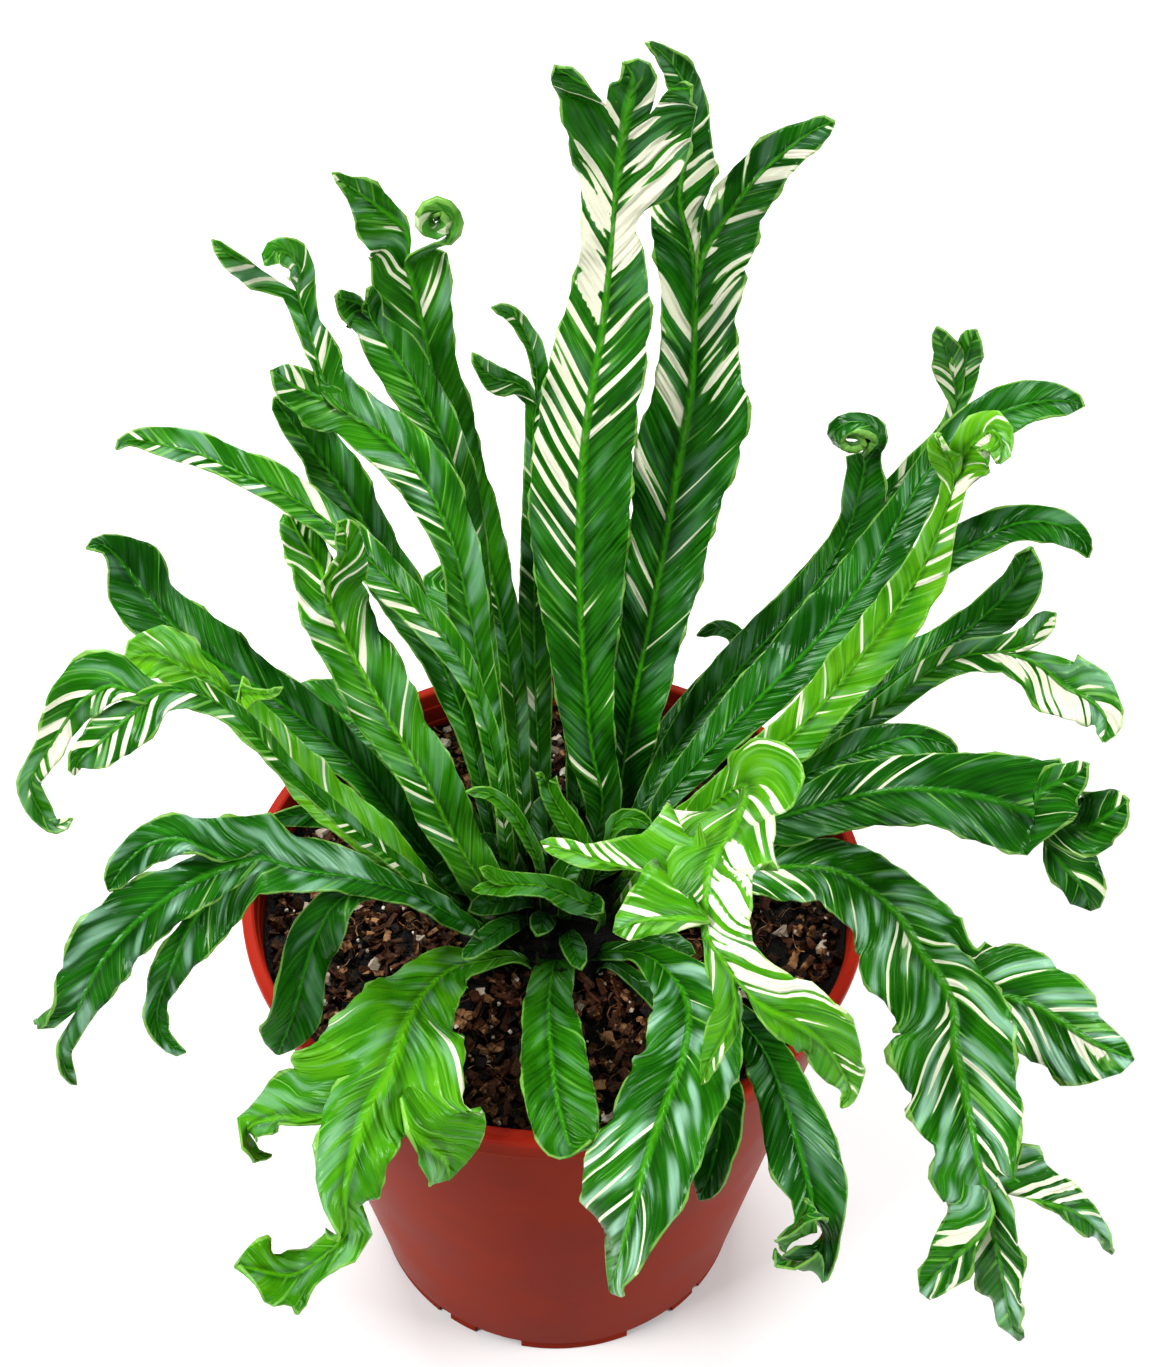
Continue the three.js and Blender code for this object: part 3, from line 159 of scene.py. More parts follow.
# Fronds. heading: degrees from +X that the frond faces away from the crown's middle.
# stem: (x, y) of its foot. columns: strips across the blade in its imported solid. reach: stretch
# of its depth. route rows: px across, px down, depth, half width left and right of the midrib in
# px. A measured frond's rows are x, y, z and half widths in mm. A fork's lobes take the strips
# first..last of the row they grow from, and a coil winds up the end of a lobe.
FRONDS = []


def frond(name, heading, stem, route, columns=4, reach=1, lobes=(), measured=False):
    FRONDS.append(dict(name=name, heading=heading, columns=columns, reach=reach, stem=stem,
                       route=route, lobes=lobes, measured=measured))


def lobe(first, last, route, lobes=(), coil=None):
    return dict(first=first, last=last, route=route, lobes=lobes, curl=coil is not None, coil=coil)


# Tall fronds at the back
frond("01", heading=84, stem=(7, 12), columns=6, reach=1.25, route=[
    (602, 812, 22, 16, 18), (592, 750, 27, 24, 24), (585, 680, 32, 31, 29), (580, 600, 38, 40, 42),
    (580, 520, 43, 51, 50), (584, 450, 48, 50, 50), (592, 390, 51, 48, 49), (601, 340, 54, 44, 48),
    (607, 290, 56, 36, 45), (611, 250, 57, 30, 33), (613, 226, 57, 31, 23), (615, 203, 57, 34, 34),
    (618, 178, 57, 42, 56), (621, 155, 56, 49, 64), (624, 131, 55, 58, 68), (628, 109, 53, 67, 68)
], lobes=[
    lobe(0, 2, [(571, 87, 51, 19, 19), (562, 73, 50, 14, 14), (556, 66, 49, 6, 7)]),
    lobe(2, 4, [(632, 88, 52, 25, 24), (631, 74, 51, 19, 21), (624, 63, 49, 7, 8)]),
    lobe(4, 6, [(681, 98, 48, 18, 18), (688, 90, 46, 10, 10), (692, 86, 44, 4, 4)]),
])
frond("02", heading=66, stem=(14, 22), reach=1.45, route=[
    (614, 824, 25, 10, 13), (624, 760, 31, 17, 26), (634, 700, 33, 23, 32), (646, 640, 38, 27, 35),
    (658, 580, 43, 32, 42), (669, 520, 48, 38, 46), (681, 450, 53, 45, 58), (690, 400, 56, 38, 62),
    (694, 350, 60, 33, 44), (695, 312, 62, 33, 42)
], lobes=[
    lobe(0, 2, [
        (684, 260, 66, 28, 14), (679, 205, 68, 28, 26), (688, 150, 69, 24, 32), (694, 110, 68, 16, 14),
        (680, 76, 65, 16, 18), (662, 54, 62, 9, 9), (646, 43, 58, 4, 4)
    ]),
    lobe(2, 4, [
        (716, 258, 63, 18, 34), (732, 215, 64, 26, 32), (755, 180, 65, 25, 28), (785, 152, 66, 22, 22),
        (812, 132, 66, 14, 16), (834, 122, 64, 7, 8)
    ]),
])
frond("03", heading=100, stem=(-3, 23), reach=1.7, route=[
    (542, 820, 30, 7, 10), (538, 750, 38, 11, 13), (534, 650, 49, 16, 18), (535, 560, 52, 15, 15),
    (533, 480, 54, 10, 10), (533, 430, 57, 8, 9), (537, 405, 58, 12, 12)
], lobes=[
    lobe(0, 2, [
        (518, 388, 57, 10, 14), (498, 382, 56, 14, 16), (484, 370, 55, 9, 10), (473, 353, 54, 3, 3)
    ]),
    lobe(2, 4, [(541, 375, 58, 9, 9), (533, 345, 58, 9, 9), (515, 317, 57, 8, 8), (492, 307, 55, 5, 5)]),
])

# Upright fronds at the back left
frond("04", heading=112, stem=(-7, 15), reach=1.6, route=[
    (527, 845, 18, 7, 7), (521, 780, 25, 9, 9), (514, 700, 34, 13, 14), (505, 640, 41, 18, 16),
    (492, 580, 46, 23, 21), (475, 520, 52, 28, 24), (456, 465, 56, 32, 28), (441, 420, 60, 36, 32),
    (431, 370, 63, 36, 28), (423, 330, 66, 28, 30), (414, 290, 68, 38, 36), (407, 266, 69, 40, 42)
], lobes=[
    lobe(0, 2, [
        (392, 243, 70, 28, 20), (374, 216, 70, 22, 24), (358, 196, 69, 14, 20), (345, 184, 68, 8, 9),
        (333, 173, 66, 3, 3)
    ]),
    lobe(2, 4, [
        (424, 252, 67, 20, 14), (444, 240, 65, 10, 10)
    ], coil=dict(center=(437, 221), depth=62, radii=(18, 18), turns=1.6, start=-45, half_width=3.2)),
])
frond("05", heading=118, stem=(-13, 11), reach=1.5, route=[
    (520, 848, 14, 6, 6), (497, 730, 26, 9, 9), (478, 600, 37, 14, 14), (463, 500, 44, 18, 18),
    (447, 450, 48, 20, 20), (418, 392, 53, 26, 24), (392, 350, 57, 26, 24), (372, 322, 59, 20, 12)
], lobes=[
    lobe(0, 2, [(358, 312, 60, 20, 12), (344, 302, 58, 14, 12), (336, 296, 55, 5, 6)]),
    lobe(2, 4, [(372, 307, 60, 12, 12), (370, 296, 58, 9, 9), (368, 290, 55, 5, 5)]),
])
frond("06", heading=128, stem=(-8, 6), reach=1.3, route=[
    (507, 840, 8, 8, 8), (494, 750, 16, 10, 12), (481, 680, 23, 14, 15), (468, 610, 29, 19, 20),
    (452, 545, 34, 18, 26), (427, 487, 39, 25, 30), (398, 450, 43, 30, 30), (374, 430, 46, 27, 30)
], lobes=[
    lobe(0, 2, [
        (345, 418, 47, 18, 20), (315, 402, 46, 26, 22), (290, 385, 44, 20, 20), (272, 370, 42, 8, 8)
    ]),
    lobe(2, 4, [
        (338, 392, 49, 14, 18), (317, 352, 52, 12, 20), (304, 315, 54, 12, 14), (297, 292, 55, 16, 18)
    ], lobes=[
        lobe(0, 1, [(262, 277, 55, 17, 8), (237, 262, 54, 15, 8), (212, 240, 52, 3, 3)]),
        lobe(1, 2, [
            (300, 270, 54, 16, 14), (290, 254, 51, 16, 14), (274, 252, 47, 14, 12), (266, 266, 44, 8, 8)
        ]),
    ]),
])
frond("07", heading=140, stem=(-20, 11), reach=1.5, route=[
    (497, 858, 14, 7, 7), (470, 740, 26, 12, 12), (440, 660, 34, 20, 20), (410, 600, 40, 28, 16),
    (380, 552, 44, 32, 21), (348, 500, 48, 32, 26), (315, 455, 51, 18, 30), (288, 418, 52, 11, 20),
    (274, 398, 52, 7, 7)
])
frond("08", heading=162, stem=(-14, -1), reach=1.02, route=[
    (506, 850, 2, 7, 7), (497, 780, 8, 8, 8), (482, 715, 14, 9, 10), (462, 665, 18, 12, 12),
    (435, 630, 22, 18, 15), (400, 592, 28, 20, 18), (360, 552, 33, 17, 18), (320, 517, 36, 17, 20),
    (280, 492, 37, 13, 22), (240, 474, 40, 13, 22), (200, 455, 43, 13, 22), (160, 445, 45, 10, 18),
    (128, 440, 45, 6, 7), (116, 450, 43, 3, 3)
])

# Fronds to the left
frond("09", heading=150, stem=(-12, -15), route=[
    (511, 943, -16, 9, 9), (490, 900, -14, 17, 18), (456, 842, -6, 22, 27), (425, 782, 2, 25, 31),
    (395, 732, 8, 27, 34), (367, 682, 14, 32, 37), (345, 642, 19, 30, 38), (328, 606, 20, 30, 38)
], lobes=[
    lobe(0, 2, [(312, 570, 31, 22, 22), (298, 535, 38, 19, 24), (288, 510, 43, 12, 14)]),
    lobe(2, 4, [
        (342, 582, 19, 20, 20), (348, 556, 18, 18, 18), (345, 534, 15, 11, 12), (338, 522, 12, 5, 5)
    ]),
])
frond("10", heading=166, stem=(-22, -8), route=[
    (487, 930, -9, 7, 7), (442, 875, -6, 12, 13), (402, 825, -2, 16, 18), (370, 782, 3, 19, 21),
    (335, 746, 8, 22, 23), (298, 716, 12, 25, 25), (260, 690, 16, 28, 28), (220, 665, 20, 30, 33),
    (182, 635, 24, 34, 32), (150, 600, 27, 36, 28), (125, 568, 29, 26, 32), (104, 546, 28, 10, 12),
    (86, 548, 25, 4, 4)
])
frond("11", heading=174, stem=(-27, -14), route=[
    (474, 925, -12, 6, 6), (440, 897, -14, 10, 11), (400, 860, -17, 15, 16), (360, 830, -15, 21, 25),
    (320, 797, -13, 19, 26), (290, 768, -11, 16, 24), (262, 736, -9, 18, 24), (238, 708, -7, 18, 20)
], lobes=[
    lobe(0, 2, [
        (210, 688, -7, 14, 18), (186, 674, -8, 18, 28), (162, 658, -9, 22, 34), (140, 656, -11, 20, 22),
        (124, 660, -13, 8, 8)
    ]),
    lobe(2, 4, [
        (240, 698, -10, 7, 10), (255, 696, -13, 6, 7), (270, 694, -16, 5, 5), (282, 687, -17, 2, 2)
    ]),
])
frond("12", heading=186, stem=(-20, -14), route=[
    (486, 932, -17, 5, 5), (448, 902, -19, 6, 6), (400, 866, -24, 8, 8), (345, 822, -30, 9, 9),
    (290, 772, -33, 9, 10), (245, 725, -35, 12, 12), (215, 702, -36, 14, 12), (190, 692, -38, 16, 14)
], lobes=[
    lobe(0, 2, [
        (162, 700, -42, 16, 16), (130, 722, -46, 26, 24), (100, 744, -49, 24, 22), (78, 762, -52, 12, 12),
        (74, 775, -53, 4, 4)
    ]),
    lobe(2, 4, [
        (158, 694, -39, 10, 10), (134, 688, -40, 16, 20), (108, 684, -41, 20, 34), (80, 702, -44, 20, 34),
        (52, 742, -49, 14, 16), (30, 782, -53, 12, 12), (40, 812, -55, 12, 12), (56, 826, -55, 8, 8),
        (72, 818, -54, 4, 4)
    ]),
])
frond("13", heading=200, stem=(-19, -26), columns=6, route=[
    (484, 938, -27, 8, 8), (445, 912, -36, 12, 11), (400, 891, -42, 14, 14), (350, 878, -47, 16, 24),
    (300, 870, -51, 24, 34), (262, 858, -54, 34, 40)
], lobes=[
    lobe(4, 6, [
        (225, 842, -56, 20, 22), (182, 834, -59, 22, 20), (148, 845, -62, 20, 20),
        (124, 866, -66, 16, 16), (108, 890, -70, 7, 7)
    ]),
    lobe(2, 4, [
        (215, 872, -62, 26, 22), (168, 898, -70, 28, 30), (128, 930, -77, 28, 42), (98, 968, -84, 26, 38),
        (78, 1008, -90, 20, 24)
    ], lobes=[
        lobe(0, 1, [(66, 1045, -94, 8, 8), (66, 1070, -96, 6, 6), (76, 1085, -96, 3, 3)]),
        lobe(1, 2, [(58, 1018, -92, 8, 8), (44, 1024, -93, 8, 8), (38, 1020, -91, 3, 3)]),
    ]),
    lobe(0, 2, [
        (232, 900, -64, 22, 20), (200, 930, -72, 22, 20), (174, 965, -79, 18, 20),
        (158, 1000, -84, 11, 16), (158, 1030, -88, 9, 10), (172, 1048, -90, 7, 6), (186, 1052, -90, 3, 3)
    ]),
])
frond("14", heading=176, stem=(-24, -1), route=[
    (472, 903, -2, 4, 4), (440, 884, -3, 6, 6), (400, 858, -4, 8, 8), (365, 832, -4, 12, 11),
    (330, 816, -4, 13, 11), (295, 815, -6, 12, 8), (264, 822, -9, 4, 4)
])
frond("15", heading=212, stem=(-18, -20), route=[
    (480, 938, -22, 5, 5), (445, 915, -27, 6, 6), (405, 898, -35, 7, 7), (365, 891, -43, 9, 9),
    (335, 904, -50, 20, 18), (314, 940, -56, 24, 26), (300, 985, -63, 24, 28), (290, 1022, -68, 22, 28),
    (278, 1054, -73, 14, 18)
])

# Fronds that hang over the front
frond("16", heading=238, stem=(-5, -27), columns=6, route=[
    (516, 958, -31, 7, 7), (482, 962, -35, 10, 9), (450, 970, -38, 24, 22), (422, 996, -55, 36, 38),
    (405, 1028, -77, 58, 58), (396, 1056, -90, 70, 74), (388, 1078, -98, 80, 82)
], lobes=[
    lobe(4, 6, [
        (308, 1094, -100, 33, 32), (277, 1108, -101, 21, 26), (250, 1126, -103, 13, 13),
        (246, 1146, -104, 8, 8), (258, 1156, -103, 4, 5), (272, 1155, -101, 2, 2)
    ]),
    lobe(2, 4, [
        (366, 1116, -109, 42, 44), (353, 1155, -121, 37, 38), (344, 1200, -131, 33, 26),
        (344, 1236, -136, 26, 20), (318, 1262, -139, 20, 18), (290, 1276, -142, 34, 24),
        (262, 1272, -146, 30, 24), (236, 1266, -148, 10, 12)
    ]),
    lobe(0, 2, [
        (439, 1112, -108, 38, 34), (444, 1142, -113, 35, 32), (447, 1166, -116, 24, 22),
        (448, 1180, -118, 8, 8)
    ]),
])
frond("17", heading=270, stem=(0, -21), route=[
    (555, 963, -29, 20, 18), (549, 1000, -46, 24, 24), (551, 1050, -72, 34, 30), (557, 1095, -94, 37, 34),
    (565, 1130, -108, 34, 30), (574, 1148, -116, 20, 20), (596, 1142, -119, 12, 12)
])
frond("18", heading=292, stem=(10, -20), route=[
    (602, 953, -25, 8, 8), (640, 954, -34, 14, 12), (668, 972, -47, 22, 22), (688, 1005, -66, 50, 34),
    (685, 1050, -90, 56, 42), (668, 1100, -110, 62, 42), (650, 1150, -126, 54, 54),
    (636, 1200, -138, 44, 50), (623, 1250, -146, 26, 34), (612, 1292, -150, 8, 10)
])
frond("19", heading=300, stem=(12, -28), route=[
    (608, 963, -31, 6, 6), (645, 987, -41, 10, 10), (690, 1030, -67, 16, 16), (712, 1075, -90, 24, 24),
    (720, 1120, -112, 26, 26), (713, 1165, -124, 22, 24), (700, 1200, -131, 9, 9)
])
frond("20", heading=306, stem=(19, -16), route=[
    (628, 940, -19, 6, 6), (685, 978, -39, 10, 10), (732, 1013, -59, 14, 14), (764, 1052, -81, 22, 22),
    (784, 1100, -105, 30, 26), (800, 1150, -120, 38, 34), (812, 1195, -130, 38, 20)
], lobes=[
    lobe(0, 2, [
        (832, 1228, -136, 14, 16), (826, 1256, -139, 14, 16), (808, 1268, -142, 12, 12),
        (790, 1262, -146, 10, 10), (776, 1266, -148, 5, 5)
    ]),
    lobe(2, 4, [
        (805, 1222, -136, 12, 10), (797, 1238, -142, 12, 10), (800, 1222, -148, 10, 10),
        (812, 1214, -150, 8, 8), (826, 1220, -149, 4, 4)
    ]),
])
frond("21", heading=20, stem=(16, -7), columns=8, route=[
    (640, 880, -10, 7, 7), (672, 845, -13, 10, 10), (712, 806, -18, 18, 16), (742, 786, -28, 32, 28),
    (745, 800, -46, 44, 46), (730, 836, -64, 40, 52)
], lobes=[
    lobe(6, 8, [
        (690, 838, -65, 30, 28), (661, 847, -67, 27, 24), (630, 853, -68, 18, 16),
        (597, 856, -68, 14, 13), (564, 849, -66, 11, 10), (541, 842, -62, 5, 5)
    ]),
    lobe(0, 6, [
        (713, 870, -79, 58, 42), (706, 902, -91, 46, 32)
    ], lobes=[
        lobe(4, 6, [
            (680, 894, -91, 22, 20), (651, 911, -94, 25, 24), (628, 925, -96, 17, 18),
            (614, 933, -97, 7, 8)
        ]),
        lobe(0, 4, [
            (716, 938, -102, 38, 15), (733, 976, -111, 36, 26)
        ], lobes=[
            lobe(0, 2, [
                (773, 994, -117, 28, 26), (800, 1013, -121, 34, 31), (826, 1040, -125, 33, 29),
                (843, 1070, -127, 18, 22), (850, 1093, -128, 8, 8), (841, 1107, -128, 3, 3)
            ]),
            lobe(2, 4, [(726, 1015, -116, 18, 16), (714, 1050, -119, 12, 12), (702, 1084, -121, 3, 3)]),
        ]),
    ]),
])

# Fronds to the right
frond("22", heading=-32, stem=(23, -11), columns=8, route=[
    (645, 905, -13, 7, 7), (700, 880, -12, 12, 14), (770, 868, -12, 24, 32), (830, 870, -17, 32, 36),
    (872, 892, -30, 34, 42), (903, 922, -46, 42, 54), (922, 955, -60, 54, 62)
], lobes=[
    lobe(0, 2, [
        (962, 968, -65, 28, 30), (1008, 988, -72, 44, 36), (1050, 1014, -78, 42, 50),
        (1092, 1042, -84, 26, 48), (1118, 1054, -89, 16, 30), (1134, 1060, -91, 8, 10)
    ]),
    lobe(2, 8, [
        (946, 1005, -80, 50, 52), (956, 1050, -98, 66, 60), (967, 1100, -114, 56, 56),
        (976, 1148, -127, 44, 42), (982, 1172, -131, 42, 46)
    ], lobes=[
        lobe(4, 6, [
            (968, 1205, -136, 24, 22), (954, 1245, -142, 26, 17), (932, 1280, -146, 20, 13),
            (920, 1292, -147, 6, 6)
        ]),
        lobe(2, 4, [
            (990, 1210, -138, 24, 22), (998, 1250, -144, 22, 26), (1006, 1290, -149, 18, 22),
            (1013, 1325, -153, 9, 14), (1019, 1340, -154, 6, 6)
        ]),
        lobe(0, 2, [
            (1005, 1165, -131, 20, 22), (1035, 1180, -133, 18, 18), (1070, 1203, -136, 17, 18),
            (1098, 1230, -139, 10, 12), (1112, 1254, -140, 4, 4)
        ]),
    ]),
])
frond("23", heading=-2, stem=(23, -4), columns=6, route=[
    (662, 868, -4, 8, 8), (700, 848, -4, 12, 12), (750, 828, -5, 18, 18), (800, 812, -6, 24, 34),
    (850, 798, -7, 30, 32), (900, 790, -8, 34, 36), (950, 792, -10, 38, 40), (1000, 802, -13, 48, 46),
    (1038, 816, -16, 60, 42)
], lobes=[
    lobe(4, 6, [(1058, 796, -18, 24, 26), (1076, 778, -20, 16, 16), (1088, 764, -22, 6, 6)]),
    lobe(2, 4, [
        (1082, 828, -20, 30, 28), (1108, 816, -24, 26, 26), (1122, 806, -26, 18, 16),
        (1128, 800, -27, 7, 7)
    ]),
    lobe(0, 2, [
        (1068, 852, -21, 24, 26), (1080, 878, -26, 24, 22), (1088, 898, -29, 16, 16),
        (1090, 910, -30, 7, 7)
    ]),
])
frond("24", heading=10, stem=(26, 1), route=[
    (700, 830, 5, 8, 8), (760, 797, 8, 11, 11), (820, 769, 9, 14, 14), (870, 749, 9, 22, 14),
    (910, 737, 10, 14, 20), (945, 744, 9, 8, 10), (958, 755, 7, 3, 3)
])
frond("25", heading=30, stem=(15, 1), route=[
    (672, 826, 6, 9, 9), (700, 806, 6, 12, 12), (745, 775, 8, 20, 22), (790, 738, 10, 22, 26),
    (830, 696, 12, 24, 26), (865, 652, 14, 24, 30), (895, 612, 16, 24, 32), (918, 578, 18, 18, 28),
    (936, 540, 19, 16, 20), (948, 508, 20, 12, 14), (955, 484, 21, 12, 14)
], lobes=[
    lobe(0, 2, [(947, 466, 21, 14, 14), (942, 450, 19, 13, 16), (939, 436, 15, 7, 9)]),
    lobe(2, 4, [
        (966, 462, 20, 20, 22), (980, 442, 18, 24, 26), (994, 432, 13, 22, 26), (1003, 446, 9, 12, 18),
        (999, 464, 6, 7, 9)
    ]),
])
frond("26", heading=38, stem=(16, 9), route=[
    (642, 834, 14, 7, 7), (668, 797, 19, 12, 12), (706, 754, 24, 20, 18), (750, 708, 32, 26, 22),
    (800, 658, 43, 32, 26), (845, 608, 50, 32, 30), (878, 560, 58, 28, 28), (902, 515, 64, 18, 24),
    (930, 470, 70, 17, 22), (962, 435, 74, 18, 26), (1000, 414, 77, 26, 24), (1040, 402, 77, 22, 18),
    (1070, 402, 74, 12, 14), (1084, 406, 70, 5, 5)
])
frond("27", heading=48, stem=(14, 16), route=[
    (630, 827, 19, 7, 7), (656, 780, 28, 11, 12), (684, 736, 37, 17, 17), (722, 690, 47, 24, 22),
    (762, 646, 55, 26, 22), (800, 606, 61, 22, 22), (832, 562, 68, 18, 22), (852, 520, 73, 12, 26),
    (862, 485, 75, 18, 26), (866, 462, 75, 20, 18)
], lobes=[
    lobe(0, 4, [
        (874, 452, 74, 8, 8)
    ], coil=dict(center=(854, 437), depth=71, radii=(24, 16), turns=1.5, start=-35, half_width=4.2)),
])
frond("28", heading=22, stem=(24, 12), route=[
    (680, 838, 14, 10, 10), (700, 818, 16, 12, 12), (755, 780, 23, 16, 16), (810, 742, 29, 22, 20),
    (860, 706, 33, 20, 22), (905, 672, 36, 26, 20), (948, 644, 38, 20, 20), (985, 616, 40, 17, 24),
    (1012, 588, 38, 17, 30), (1026, 564, 38, 13, 26), (1031, 548, 37, 8, 14)
])
frond("29", heading=16, stem=(26, 7), route=[
    (678, 852, 9, 7, 7), (705, 832, 10, 9, 9), (765, 794, 14, 10, 10), (825, 755, 19, 11, 9),
    (880, 712, 22, 12, 12), (930, 672, 25, 14, 16), (965, 656, 25, 14, 18), (1000, 652, 24, 16, 20)
], lobes=[
    lobe(0, 2, [(1025, 640, 26, 12, 12), (1045, 622, 28, 12, 12), (1056, 613, 28, 4, 4)]),
    lobe(2, 4, [
        (1035, 672, 20, 22, 24), (1062, 690, 15, 34, 28), (1088, 700, 8, 34, 26), (1106, 718, 1, 20, 16),
        (1104, 742, -5, 6, 6)
    ]),
])
frond("30", heading=30, stem=(20, 22), route=[
    (648, 812, 32, 6, 6), (690, 760, 42, 9, 9), (750, 705, 52, 12, 12), (810, 655, 60, 14, 14),
    (870, 605, 66, 18, 18), (925, 568, 70, 22, 16), (970, 546, 72, 26, 16), (1015, 524, 72, 18, 18),
    (1055, 524, 70, 16, 20), (1082, 540, 66, 10, 14), (1088, 558, 62, 4, 4)
])
frond("31", heading=52, stem=(9, 25), route=[
    (632, 805, 34, 5, 5), (670, 745, 48, 8, 8), (720, 680, 62, 10, 10), (775, 615, 74, 11, 11),
    (840, 545, 84, 12, 12), (900, 480, 92, 10, 10), (945, 430, 98, 8, 8), (957, 405, 100, 9, 9)
], lobes=[
    lobe(0, 2, [
        (951, 384, 100, 13, 13), (948, 358, 99, 16, 17), (941, 338, 97, 9, 10), (937, 327, 96, 4, 4)
    ]),
    lobe(2, 4, [
        (965, 380, 99, 13, 12), (968, 357, 98, 16, 15), (972, 340, 96, 12, 12), (976, 330, 95, 5, 5)
    ]),
])
frond("32", heading=60, stem=(2, 28), route=[
    (622, 812, 38, 4, 4), (655, 745, 58, 8, 8), (700, 690, 76, 10, 10), (738, 652, 88, 10, 12),
    (736, 634, 90, 10, 8), (718, 628, 88, 8, 8), (697, 636, 85, 3, 3)
])

# Young leaves in the middle of the nest
frond("33", heading=110, stem=(6, -1), route=[
    (588, 862, 2, 8, 8), (574, 832, 6, 12, 12), (557, 805, 9, 12, 10), (548, 788, 10, 10, 10)
], lobes=[
    lobe(0, 2, [(541, 778, 10, 4, 4), (537, 774, 8, 2, 2)]),
    lobe(2, 4, [(552, 778, 10, 5, 5), (558, 784, 7, 2, 2)]),
])
frond("34", heading=176, stem=(12, -13), route=[
    (600, 915, -16, 8, 8), (572, 898, -18, 15, 13), (545, 887, -20, 12, 12), (515, 884, -22, 12, 12)
], lobes=[
    lobe(0, 2, [(502, 890, -24, 8, 8), (490, 888, -26, 8, 8), (472, 890, -28, 4, 4)]),
    lobe(2, 4, [(500, 878, -23, 8, 8), (488, 872, -24, 7, 7), (480, 868, -25, 3, 3)]),
])
frond("35", heading=130, stem=(-3, -5), route=[
    (540, 868, -5, 5, 5), (530, 842, -4, 7, 7), (512, 812, -4, 8, 8), (490, 794, -5, 7, 7),
    (466, 792, -8, 3, 3)
])
frond("36", heading=60, stem=(9, 5), route=[
    (608, 842, 7, 5, 5), (612, 828, 8, 8, 8), (624, 818, 9, 10, 10), (640, 820, 9, 9, 9),
    (652, 828, 8, 3, 3)
])
frond("37", heading=100, stem=(1, -10), route=[
    (566, 905, -10, 8, 8), (562, 880, -6, 14, 14), (572, 862, -3, 12, 12), (590, 856, -1, 8, 8),
    (600, 860, 0, 3, 3)
])

# Fronds at the back that the photograph hides
frond("38", heading=82, stem=(8, 19), measured=True, route=[
    (9, 34, 222, 5, 5), (11, 60, 272, 10, 10), (13, 92, 304, 13, 13), (15, 124, 312, 13, 13),
    (17, 152, 298, 10, 10), (18, 168, 272, 4, 4)
])
frond("39", heading=78, stem=(13, 34), measured=True, route=[
    (13, 48, 204, 5, 5), (20, 80, 226, 11, 11), (27, 110, 231, 14, 13), (32, 136, 216, 12, 12),
    (35, 154, 190, 4, 4)
])
frond("40", heading=112, stem=(-13, 20), measured=True, route=[
    (-17, 42, 202, 5, 5), (-25, 72, 222, 10, 10), (-32, 98, 224, 12, 12), (-37, 122, 210, 11, 11),
    (-40, 142, 186, 4, 4)
])
frond("42", heading=148, stem=(-21, 17), measured=True, route=[
    (-32, 26, 192, 5, 5), (-52, 40, 207, 9, 10), (-72, 54, 211, 12, 12), (-92, 68, 200, 10, 10),
    (-104, 78, 180, 4, 4)
])


# The eye's own axes
def unit(vector):
    return vector / np.linalg.norm(vector)


EYE_FORWARD = unit(AIM - EYE)
LEVEL_RIGHT = unit(np.cross(EYE_FORWARD, (0, 0, 1)))
LEVEL_UP = np.cross(LEVEL_RIGHT, EYE_FORWARD)
EYE_RIGHT = LEVEL_RIGHT * math.cos(EYE_ROLL) + LEVEL_UP * math.sin(EYE_ROLL)
EYE_UP = LEVEL_UP * math.cos(EYE_ROLL) - LEVEL_RIGHT * math.sin(EYE_ROLL)


def sight_point(across, down, depth):
    """The point at a given depth on the line of sight through a pixel."""
    ray = (EYE_FORWARD + EYE_RIGHT * (across - VIEW_CENTER_PX[0]) / FOCAL_PX
           - EYE_UP * (down - VIEW_CENTER_PX[1]) / FOCAL_PX)
    return EYE + ray * (depth - EYE[1]) / ray[1]


def seen_at(points):
    """Where points are seen, in pixels."""
    rays = np.asarray(points) - EYE
    scale = FOCAL_PX / (rays @ EYE_FORWARD)
    return np.stack([VIEW_CENTER_PX[0] + rays @ EYE_RIGHT * scale,
                     VIEW_CENTER_PX[1] - rays @ EYE_UP * scale], axis=-1)


def face_vector(heading):
    """The way that a frond's upper face looks: up, back towards the middle and to the eye."""
    angle = math.radians(heading)
    return np.array([-FACE_BACK * math.cos(angle), -FACE_BACK * math.sin(angle) - FACE_TO_EYE,
                     FACE_UP])


def smooth_points(points):
    """A Catmull-Rom curve through the points, with SPINE_STEPS steps from each to the next."""
    points = np.asarray(points, float)
    padded = np.vstack([2 * points[0] - points[1], points, 2 * points[-1] - points[-2]])
    t = (np.arange(SPINE_STEPS) / SPINE_STEPS)[:, None]
    parts = []
    for i in range(len(points) - 1):
        a, b, c, d = padded[i:i + 4]
        parts.append(0.5 * (2 * b + (c - a) * t + (2 * a - 5 * b + 4 * c - d) * t ** 2
                            + (3 * b - a - 3 * c + d) * t ** 3))
    return np.vstack(parts + [points[-1:]])


def tangents_of(points):
    ahead = np.vstack([points[1:], points[-1:]])
    behind = np.vstack([points[:1], points[:-1]])
    steps = ahead - behind
    return steps / np.linalg.norm(steps, axis=1)[:, None]


def across_tangent(vector, tangent):
    return unit(vector - tangent * vector.dot(tangent))


def normals_of(tangents, face, curl):
    """Upper-face normals along a spine. On a curl they are carried along instead."""
    normals = []
    for i, tangent in enumerate(tangents):
        source = normals[-1] if curl and i else face
        normals.append(across_tangent(source, tangent))
    return np.array(normals)


def smooth_step(value, low, high):
    t = np.clip((np.asarray(value, float) - low) / (high - low), 0, 1)
    return t * t * (3 - 2 * t)


